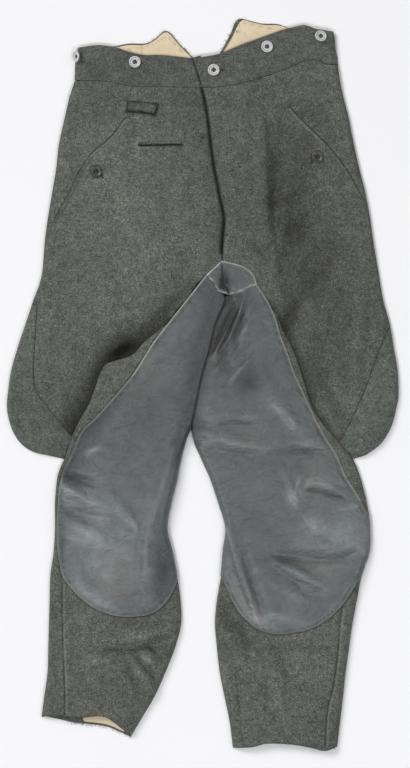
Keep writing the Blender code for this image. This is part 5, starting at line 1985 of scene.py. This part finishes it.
def band_left_floor(p):
    """The same for the left waistband, above the right one at the fly."""
    over = near(p, fly)[0] < FLY_UNDERLAP + FLY_CLEAR
    return np.where(over, FLY_UNDER + GAP + 0.3, band_floor(p))


carriers = {"front_right": front_right, "front_left": front_left}
for name, loop, height, floor, seam, top in (
    ("band_right", band_right_loop, band_right_height, band_floor, seam_right, band_top_right),
    ("band_left", band_left_loop, band_left_height, band_left_floor, seam_left, band_top_left),
):
    rows = [(seam, BESIDE_ROWS), (top, EDGE_ROWS), (band_fly, EDGE_ROWS)]
    carriers[name] = Cloth(loop, (), rows, height, floor, flats=seats(name))
    half = "waistband_right" if name == "band_right" else "waistband_left"
    # Painted shade at the band's top edge and in two broad patches; on the right half also painted shadow
    # beside the left half's fly edge.
    marks = [shade_and_dirt(top, 1.6, 0.3), Patch(-130, 474, 70, 30, 0, -0.14), Patch(120, 490, 60, 30, 20, -0.06)]
    if name == "band_right":
        marks.append(shade_and_dirt([(x - 1.6, y) for x, y in band_fly], 2.0, 0.8))
    cut(carriers[name], half, BANDED, marks=marks)


# Buttons: rings of their turned faces, radius and height, from the rim inwards.
METAL_RINGS = (
    (9.0, 1.2), (8.9, 2.0), (8.5, 2.6), (7.9, 2.95), (7.3, 2.9),
    (6.8, 2.45), (6.3, 2.0), (5.6, 1.85), (4.4, 1.9),
)
HORN_RINGS = (
    (9.0, 1.4), (8.8, 2.2), (8.3, 2.75), (7.6, 3.0),
    (6.9, 2.85), (6.2, 2.3), (5.4, 2.0), (4.4, 1.95),
)
BUTTON_SIDES = 40
HOLE_SIDES = 12
HOLE_R = 1.2
HOLE_OUT = 2.5
HOLE_RINGS = ((HOLE_R + 0.35, 1.9), (HOLE_R, 1.7))

# Rings of a face: share, radius, width. Pale rings are wear and painted
# highlight on the rim; dark rings are painted shade and grime at the rim's
# outer edge and inner slope, and round the holes in the dish.
WORN_AND_HIGHLIT_RINGS = ((0.7, 7.7, 0.5), (0.6, 5.0, 1.0))
DIRTY_AND_SHADED_RINGS = ((0.8, 9.0, 0.4), (0.6, 6.6, 0.5))
DISH_DIRT_AND_SHADE = ((0.85, HOLE_OUT, 1.3),)
DISH_R = 4.4

# A button's thread: radius, strands side by side, its lowest level, rise at
# the middle, further rise where it crosses, and steps of its path.
THREAD_R = 0.36
STRANDS = (-0.5, 0.0, 0.5)
THREAD_LOW = 0.9
THREAD_RISE = 1.3
CROSS_RISE = 0.25
THREAD_STEPS = 6

BUTTONHOLE_HALF = 1.5
BUTTONHOLE_STEPS = 40
BUTTON_TURNS = (0.3, 0.7, 0.1, 0.5, 0.85, 0.2, 0.6)


def turned_to(points, lean, bearing):
    """Points leaned over towards a bearing."""
    tilt, turn = math.radians(lean), math.radians(bearing)
    c, s = math.cos(turn), math.sin(turn)
    spin = np.array([[c, -s, 0], [s, c, 0], [0, 0, 1]])
    c, s = math.cos(tilt), math.sin(tilt)
    tip = np.array([[c, 0, s], [0, 1, 0], [-s, 0, c]])
    return points @ (spin @ tip @ spin.T).T


def hole_places(turn):
    """Middles of a button's four holes."""
    angles = [math.tau * (k + 0.5) / 4 + turn for k in range(4)]
    return [(HOLE_OUT * math.cos(a), HOLE_OUT * math.sin(a)) for a in angles]


def ringed(r, rings):
    """Soft rings at their radii, laid over each other."""
    return sum(share * np.exp(-(((r - middle) / width) ** 2)) for share, middle, width in rings)


def button_body(rings, turn):
    """A turned four-hole button, its faces and the values of its finish: pale for wear and painted
    highlight, dark for painted shade and grime.
    """
    points, heights, edges = [], [], []
    for r, h in rings:
        start = len(points)
        points += ring(0, 0, r, BUTTON_SIDES)
        heights += [h] * BUTTON_SIDES
        edges += [(start + k, start + (k + 1) % BUTTON_SIDES) for k in range(BUTTON_SIDES)]
    holes = []
    for hx, hy in hole_places(turn):
        for r, h in HOLE_RINGS:
            loop = ring(hx, hy, r, HOLE_SIDES)
            start = len(points)
            points += loop
            heights += [h] * HOLE_SIDES
            edges += [(start + j, start + (j + 1) % HOLE_SIDES) for j in range(HOLE_SIDES)]
        holes.append(loop)
    found = delaunay_2d_cdt([Vector(p) for p in points], edges, [], 0, 1e-4)
    xy = np.array([tuple(v) for v in found[0]])
    high = np.array([heights[o[0]] for o in found[3]])
    tris = [t for t in found[2] if len(t) == 3]
    mid = np.array([xy[list(t)].mean(axis=0) for t in tris])
    keep = np.ones(len(tris), bool)
    for loop in holes:
        keep &= ~inside(mid, loop)
    faces = []
    for t, k in zip(tris, keep):
        if k:
            a, b, c = (xy[i] for i in t)
            way = (b[0] - a[0]) * (c[1] - a[1]) - (b[1] - a[1]) * (c[0] - a[0])
            faces.append(tuple(t) if way > 0 else tuple(t)[::-1])
    known = {(t[i], t[(i + 1) % 3]) for t in faces for i in range(3)}
    rim = [e for e in known if (e[1], e[0]) not in known]
    n = len(xy)
    faces += [tuple(i + n for i in t[::-1]) for t in faces]
    faces += [(a, a + n, b + n, b) for a, b in sorted(rim)]
    body = np.vstack([np.column_stack([xy, high]), np.column_stack([xy, np.zeros(n)])])
    r = np.linalg.norm(body[:, :2], axis=1)
    pale = ringed(r, WORN_AND_HIGHLIT_RINGS)
    dark = ringed(r, DIRTY_AND_SHADED_RINGS) + ringed(r, DISH_DIRT_AND_SHADE) * (r < DISH_R)
    pale[body[:, 2] < 0.5] = 0
    return body, faces, pale, dark


def tube(path, radius, sides=6):
    """A round rod along a path, closed at both ends."""
    path = np.asarray(path, float)
    t = np.gradient(path, axis=0)
    t /= np.linalg.norm(t, axis=1)[:, None] + 1e-12
    side = np.cross(t, (0.13, 0.21, 0.97))
    side /= np.linalg.norm(side, axis=1)[:, None] + 1e-12
    up = np.cross(side, t)
    points = []
    for p, s, u in zip(path, side, up):
        for k in range(sides):
            a = math.tau * k / sides
            points.append(p + radius * (math.cos(a) * s + math.sin(a) * u))
    faces = []
    for i in range(len(path) - 1):
        for k in range(sides):
            a, b = i * sides + k, i * sides + (k + 1) % sides
            faces.append((a, b, b + sides, a + sides))
    faces.append(tuple(range(sides))[::-1])
    faces.append(tuple((len(path) - 1) * sides + k for k in range(sides)))
    return points, faces


def gathered(parts):
    """Several bodies as one list of points and faces."""
    points, faces = [], []
    for p, f in parts:
        n = len(points)
        points += [tuple(q) for q in p]
        faces += [tuple(i + n for i in t) for t in f]
    return np.array(points), faces


def thread_cross(turn, crossed):
    """Thread through a button's four holes."""
    parts = []
    hole = hole_places(turn)
    pairs = ((0, 2), (1, 3)) if crossed else ((0, 1), (3, 2))
    for order, (a, b) in enumerate(pairs):
        for shift in STRANDS:
            (ax, ay), (bx, by) = hole[a], hole[b]
            long = math.dist(hole[a], hole[b])
            nx, ny = -(by - ay) / long * shift, (bx - ax) / long * shift
            rise = THREAD_RISE + (CROSS_RISE if crossed and order else 0.0)
            path = []
            for i in range(THREAD_STEPS + 1):
                s = i / THREAD_STEPS
                z = THREAD_LOW + rise * math.sin(math.pi * s) ** 0.4
                path.append((ax + (bx - ax) * s + nx, ay + (by - ay) * s + ny, z))
            parts.append(tube(path, THREAD_R, 6))
    return gathered(parts)


def button_places():
    """Each button with the height at which it rests."""
    for b in BUTTONS:
        if b.carrier == "edge":
            yield b, EDGE_BUTTON_LOW
        else:
            yield b, carriers[b.carrier].at(b.x, b.y) + GAP


for (b, z), turn in zip(button_places(), BUTTON_TURNS):
    body, faces, pale, dark = button_body(METAL_RINGS if b.metal else HORN_RINGS, turn)
    leaned = turned_to(body, b.lean, b.bearing)
    base = np.array((b.x, b.y, z - leaned[:, 2].min()))
    made = solid(b.name + "_turned", leaned + base, faces, METAL if b.metal else HORN)
    keep_values(made, {"pale": np.clip(pale, 0, 1), "dark": np.clip(dark, 0, 1)})
    laid(made, [b.name], "metal_button" if b.metal else "dark_button", sheet=False)
    points, faces = thread_cross(turn, b.metal)
    points = turned_to(points, b.lean, b.bearing) + base
    laid(solid(b.name + "_thread", points, faces, DARK_THREAD), [], None, sheet=False)


# Stitches, set along lines on the cloth by one tree.
def stitch_tree():
    """Small threads laid end to end along every edge of a mesh."""
    tree = bpy.data.node_groups.new("stitches_along_lines", "GeometryNodeTree")
    face = tree.interface
    face.new_socket("Lines", in_out="INPUT", socket_type="NodeSocketGeometry")
    for name in ("Spacing", "Long", "Wide", "High", "Turn", "Uneven"):
        face.new_socket(name, in_out="INPUT", socket_type="NodeSocketFloat")
    face.new_socket("Seed", in_out="INPUT", socket_type="NodeSocketInt")
    face.new_socket("Thread", in_out="INPUT", socket_type="NodeSocketMaterial")
    face.new_socket("Stitches", in_out="OUTPUT", socket_type="NodeSocketGeometry")
    n, link = tree.nodes, tree.links
    source, out = n.new("NodeGroupInput"), n.new("NodeGroupOutput")
    curve = n.new("GeometryNodeMeshToCurve")
    even = n.new("GeometryNodeResampleCurve")
    even.mode = "LENGTH"
    ball = n.new("GeometryNodeMeshUVSphere")
    ball.inputs["Segments"].default_value = 8
    ball.inputs["Rings"].default_value = 4
    ball.inputs["Radius"].default_value = 0.5
    size = n.new("ShaderNodeCombineXYZ")
    shape = n.new("GeometryNodeTransform")
    way = n.new("GeometryNodeInputTangent")
    face_way = n.new("FunctionNodeAlignEulerToVector")
    face_way.axis = "X"
    low = n.new("ShaderNodeMath")
    low.operation = "SUBTRACT"
    high = n.new("ShaderNodeMath")
    high.operation = "ADD"
    uneven = n.new("FunctionNodeRandomValue")
    uneven.data_type = "FLOAT"
    turn = n.new("ShaderNodeCombineXYZ")
    turned = n.new("FunctionNodeRotateEuler")
    turned.space = "LOCAL"
    put = n.new("GeometryNodeInstanceOnPoints")
    real = n.new("GeometryNodeRealizeInstances")
    smooth_it = n.new("GeometryNodeSetShadeSmooth")
    dress = n.new("GeometryNodeSetMaterial")
    link.new(source.outputs["Lines"], curve.inputs[0])
    link.new(curve.outputs[0], even.inputs["Curve"])
    link.new(source.outputs["Spacing"], even.inputs["Length"])
    for axis, name in (("X", "Long"), ("Y", "Wide"), ("Z", "High")):
        link.new(source.outputs[name], size.inputs[axis])
    link.new(ball.outputs["Mesh"], shape.inputs["Geometry"])
    link.new(size.outputs[0], shape.inputs["Scale"])
    link.new(way.outputs[0], face_way.inputs["Vector"])
    link.new(source.outputs["Turn"], low.inputs[0])
    link.new(source.outputs["Uneven"], low.inputs[1])
    link.new(source.outputs["Turn"], high.inputs[0])
    link.new(source.outputs["Uneven"], high.inputs[1])
    link.new(low.outputs[0], uneven.inputs[2])
    link.new(high.outputs[0], uneven.inputs[3])
    link.new(source.outputs["Seed"], uneven.inputs["Seed"])
    link.new(uneven.outputs[1], turn.inputs["Z"])
    link.new(face_way.outputs[0], turned.inputs["Rotation"])
    link.new(turn.outputs[0], turned.inputs["Rotate By"])
    link.new(even.outputs[0], put.inputs["Points"])
    link.new(shape.outputs[0], put.inputs["Instance"])
    link.new(turned.outputs[0], put.inputs["Rotation"])
    link.new(put.outputs[0], real.inputs[0])
    link.new(real.outputs[0], smooth_it.inputs["Geometry"])
    link.new(smooth_it.outputs[0], dress.inputs["Geometry"])
    link.new(source.outputs["Thread"], dress.inputs["Material"])
    link.new(dress.outputs[0], out.inputs["Stitches"])
    return tree


UNEVEN = 0.1
STITCHES = stitch_tree()
Sewn = namedtuple("Sewn", "carrier line lift")


def sewn(name, rows, thread, stitch, seed):
    """Stitches along rows of lines, as one mesh on the model's frame."""
    points, edges = [], []
    for row in rows:
        last = None
        for x, y in dense(row.line, 1.0):
            z = row.carrier.at(x, y)
            if z is None:
                last = None
                continue
            points.append((x, y, z + row.lift))
            if last is not None:
                edges.append((last, len(points) - 1))
            last = len(points) - 1
    mesh = bpy.data.meshes.new(name + "_lines")
    moved = (np.array(points) + CENTRE) * MM
    mesh.from_pydata(moved.tolist(), edges, [])
    drawn = placed(name + "_lines", mesh)
    laying = drawn.modifiers.new("stitches", "NODES")
    laying.node_group = STITCHES
    values = {side.capitalize(): stitch[side] * MM for side in ("spacing", "long", "wide", "high")}
    values.update({"Turn": stitch["turn"], "Uneven": UNEVEN, "Seed": seed, "Thread": thread})
    for item in STITCHES.interface.items_tree:
        if item.item_type == "SOCKET" and item.in_out == "INPUT" and item.name in values:
            laying[item.identifier] = values[item.name]
    shown = bpy.context.evaluated_depsgraph_get()
    made_mesh = bpy.data.meshes.new_from_object(drawn.evaluated_get(shown))
    made_mesh.name = name
    drawn.modifiers.clear()
    bpy.data.objects.remove(drawn, do_unlink=True)
    return laid(placed(name, made_mesh), [], None, sheet=False)


# How high stitches lie, and how far beside their edges.
ON_LEATHER = GAP + LEATHER + 0.12
ON_WELT = GAP + WELT + 0.12
ON_WOOL = 0.15
BY_LEATHER = 2.8
BY_SADDLE = 2.4
BY_MOUTH = 1.6
BY_WELT = 8.0
BY_TOP = 4.0
BY_WAIST = 3.5

# Rows of stitches: distance between them, their sizes and turn to the line.
PLAIN_ROW = {"spacing": 3.0, "long": 2.2, "wide": 0.6, "high": 0.45, "turn": 0.0}
FLY_ROW = {**PLAIN_ROW, "spacing": 2.6, "long": 1.9, "wide": 0.5}
WAIST_ROW = {**PLAIN_ROW, "spacing": 2.8, "long": 2.0, "wide": 0.5}
POCKET_ROW = {**PLAIN_ROW, "spacing": 2.4, "long": 1.8, "wide": 0.5}
SMALL_ROW = {**PLAIN_ROW, "spacing": 2.2, "long": 1.7, "wide": 0.5}
HOLE_ROW = {"spacing": 0.75, "long": 2.2, "wide": 0.7, "high": 0.6, "turn": math.pi / 2}
FOB_ROW_LINE = ((-99, 372), (-99.5, 355.5), (-64, 357), (-31, 357.5), (-30.5, 366))
TAB_ROW_LINE = ((-111, 423), (-90, 421.8), (-70.5, 418), (-73.6, 407), (-93, 411), (-112, 412))
FLY_ROW_LINE = ((34, 440), (40, 380), (46, 320), (51, 270), (52, 240), (47, 222), (38, 212), (32, 210))
band_right, band_left = carriers["band_right"], carriers["band_left"]
leather_rows = [
    Sewn(leg_right, shifted(edge_right, BY_LEATHER)[2:], ON_LEATHER),
    Sewn(leg_left, shifted(edge_left, -BY_LEATHER)[1:], ON_LEATHER),
    Sewn(leg_left, shifted(edge_left_end, -BY_LEATHER)[1:-1], ON_LEATHER),
    Sewn(front_right, shifted(saddle_top_right, BY_SADDLE), ON_LEATHER),
    Sewn(front_left, shifted(saddle_top_left, -BY_SADDLE), ON_LEATHER),
]
waist_rows = [
    Sewn(band_right, shifted(band_top_right, -BY_TOP)[2:-3], ON_WOOL),
    Sewn(band_left, shifted(band_top_left, -BY_TOP)[2:-3], ON_WOOL),
    Sewn(band_right, [(x, y + BY_WAIST) for x, y in seam_right[3:-4]], ON_WOOL),
    Sewn(band_left, [(x, y + BY_WAIST) for x, y in seam_left[5:-3]], ON_WOOL),
]
sewn("leather_edge_stitches", leather_rows, THREAD, PLAIN_ROW, 3)
for side, front, mouth, way, seed in (
    ("right", front_right, pocket_right, 1, 4),
    ("left", front_left, pocket_left, -1, 5),
):
    mouth_rows = [
        Sewn(front, shifted(mouth, way * BY_MOUTH), ON_WELT),
        Sewn(front, shifted(mouth, way * BY_WELT), ON_WOOL),
    ]
    sewn("pocket_stitches_" + side, mouth_rows, THREAD, POCKET_ROW, seed)
sewn("fob_stitches", [Sewn(front_right, FOB_ROW_LINE, ON_WOOL)], THREAD, SMALL_ROW, 6)
sewn("tab_stitches", [Sewn(front_right, TAB_ROW_LINE, ON_WELT + TAB_RISE)], DARK_THREAD, SMALL_ROW, 7)
sewn("fly_stitches", [Sewn(front_left, FLY_ROW_LINE, ON_WOOL)], DARK_THREAD, FLY_ROW, 8)
sewn("waist_stitches", waist_rows, DARK_THREAD, WAIST_ROW, 9)


def buttonhole(carrier, x, y, long, turn, lift):
    """Line round a buttonhole, for stitches set across it."""
    c, s = math.cos(math.radians(turn)), math.sin(math.radians(turn))
    loop = []
    for k in range(BUTTONHOLE_STEPS + 1):
        a = math.tau * k / BUTTONHOLE_STEPS
        u = math.cos(a) * long / 2
        v = math.sin(a) * BUTTONHOLE_HALF
        loop.append((x + u * c - v * s, y + u * s + v * c))
    return Sewn(carrier, loop, lift)


hole_rows = [
    buttonhole(band_left, 20, 471, 24, 6, 0.25),
    buttonhole(front_right, -157, 317, 22, -42, 0.25),
    buttonhole(front_left, 168, 338, 22, 40, 0.25),
]
sewn("buttonhole_stitches", hole_rows, DARK_THREAD, HOLE_ROW, 10)

# Loose threads at raw edges.
LOOSE_POINTS = 8
rng = np.random.default_rng(12)


def loose_threads(name, roots, count, long, radius, thread, way, low):
    """Frayed ends that leave an edge, curl, and lie down."""
    roots = np.array(dense(roots, 0.5))
    parts = []
    for _ in range(count):
        x, y = roots[rng.integers(len(roots))]
        aim = math.radians(way + rng.normal(0, 42))
        reach = long * rng.uniform(0.35, 1.0)
        curl = rng.normal(0, 0.22)
        path, z = [], low + rng.uniform(0, 1.0)
        for k in range(LOOSE_POINTS):
            path.append((x, y, max(z, 0.4)))
            x += math.cos(aim) * reach / (LOOSE_POINTS - 1)
            y += math.sin(aim) * reach / (LOOSE_POINTS - 1)
            aim += curl + rng.normal(0, 0.15)
            z += rng.normal(0, 0.15) - 0.05 * k
        parts.append(tube(path, radius * rng.uniform(0.7, 1.2), 4))
    points, faces = gathered(parts)
    return laid(solid(name, points, faces, thread), [], None, sheet=False)


raw_right = [p for p in tail_right_line if p[0] > -104]
raw_left = [p for p in tail_left_line if 22 < p[0] < 70]
raw_wool = tail_right_line[30:] + tail_left_line[:16]
raw_hem = [p for p in hem_back if p[0] > -210]
loose_threads("tail_threads_right", raw_right, 30, 7.0, 0.14, PALE_THREAD, 88, 2.6)
loose_threads("tail_threads_left", raw_left, 26, 7.0, 0.14, PALE_THREAD, 100, 2.6)
loose_threads("tail_wool_threads", raw_wool, 46, 4.0, 0.16, DARK_THREAD, 90, 1.4)
loose_threads("hem_threads_right", raw_hem, 70, 5.0, 0.15, DARK_THREAD, -80, 1.2)
loose_threads("hem_threads_left", smooth(HEM_LEFT), 60, 3.0, 0.15, DARK_THREAD, -90, 1.6)


# Sheets: each piece's area is taken from its own outline and held to at least
# the least share of the box round it, and RESTS and SEWN_ON are read for it,
# but nothing is done with them. What isn't in RESTS rests on the surface.
LEAST_SHARE = 0.301
RESTS = {
    "tail_lining_right_cloth": ("back_tail_right",),
    "tail_lining_left_cloth": ("back_tail_left",),
    "hem_lining_right_cloth": ("back_right",),
    "front_right_cloth": ("back_right",),
    "flare_insert_right_cloth": ("back_right",),
    "saddle_leather_right_skin": ("front_right",),
    "leg_front_right_cloth": ("back_right", "front_right"),
    "leg_leather_right_skin": ("leg_front_right",),
    "front_left_cloth": ("back_left", "front_right"),
    "flare_insert_left_cloth": ("back_left",),
    "saddle_leather_left_skin": ("front_left",),
    "leg_front_left_cloth": ("back_left", "front_left"),
    "leg_leather_left_skin": ("leg_front_left",),
    "waistband_right_cloth": ("tail_lining_right",),
    "waistband_left_cloth": ("tail_lining_left", "waistband_right"),
}
SEWN_ON = {
    "front_right_cloth": ("pocket_welt_right_cloth", "fob_welt_right_cloth", "belt_tab_right_cloth"),
    "front_left_cloth": ("pocket_welt_left_cloth",),
}
for made, is_sheet in pieces:
    if is_sheet:
        wide, long, area = made["flat_mm"]
        box = wide * long
        area = min(max(area, LEAST_SHARE * box), box)
        list(RESTS.get(made.name, ()))
        list(SEWN_ON.get(made.name, ()))
    if "flat_mm" in made:
        del made["flat_mm"]

# Floor, light and camera.
FLOOR_LOW = -0.0003
ground = bpy.data.meshes.new("ground")
corners = [(x, y, FLOOR_LOW) for x, y in ((-4, -4), (4, -4), (4, 4), (-4, 4))]
ground.from_pydata(corners, [], [(0, 1, 2, 3)])
ground.materials.append(floor_finish())
floor = placed("ground", ground)

sky = bpy.data.worlds.new("soft_room")
sky.use_nodes = True
sky.node_tree.nodes["Background"].inputs["Color"].default_value = (0.96, 0.97, 1.0, 1)
sky.node_tree.nodes["Background"].inputs["Strength"].default_value = 0.15
bpy.context.scene.world = sky


def lamp(name, place, size, power, colour):
    """A square soft light turned to the middle of the cloth."""
    data = bpy.data.lights.new(name, "AREA")
    data.shape = "SQUARE"
    data.size = size
    data.energy = power
    data.color = colour
    made = placed(name, data)
    made.location = place
    made.rotation_euler = (-Vector(place)).to_track_quat("-Z", "Y").to_euler()


lamp("upper_left_light", (-5.8, 4.7, 6.0), 4.2, 585.0, (1.0, 0.99, 0.98))
lamp("upper_right_light", (5.6, 1.2, 5.6), 4.0, 100.0, (1.0, 0.99, 0.98))
lamp("lower_left_light", (-2.5, -2.6, 5.0), 1.0, 92.0, (0.98, 0.99, 1.0))
lamp("lower_right_light", (2.5, -2.6, 5.0), 1.0, 92.0, (0.98, 0.99, 1.0))

CAMERA_HIGH = 6.0
VIEW_LONG = 1.152
SENSOR = 24.0
view = bpy.data.cameras.new("straight_above")
view.sensor_fit = "VERTICAL"
view.sensor_height = SENSOR
view.lens = SENSOR * CAMERA_HIGH / VIEW_LONG
view.clip_end = 50
camera = placed("straight_above", view)
camera.location = (3.5 * MM, 1.8 * MM, CAMERA_HIGH)
bpy.context.scene.camera = camera
bpy.context.scene.view_settings.view_transform = "Standard"
bpy.context.scene.view_settings.look = "None"
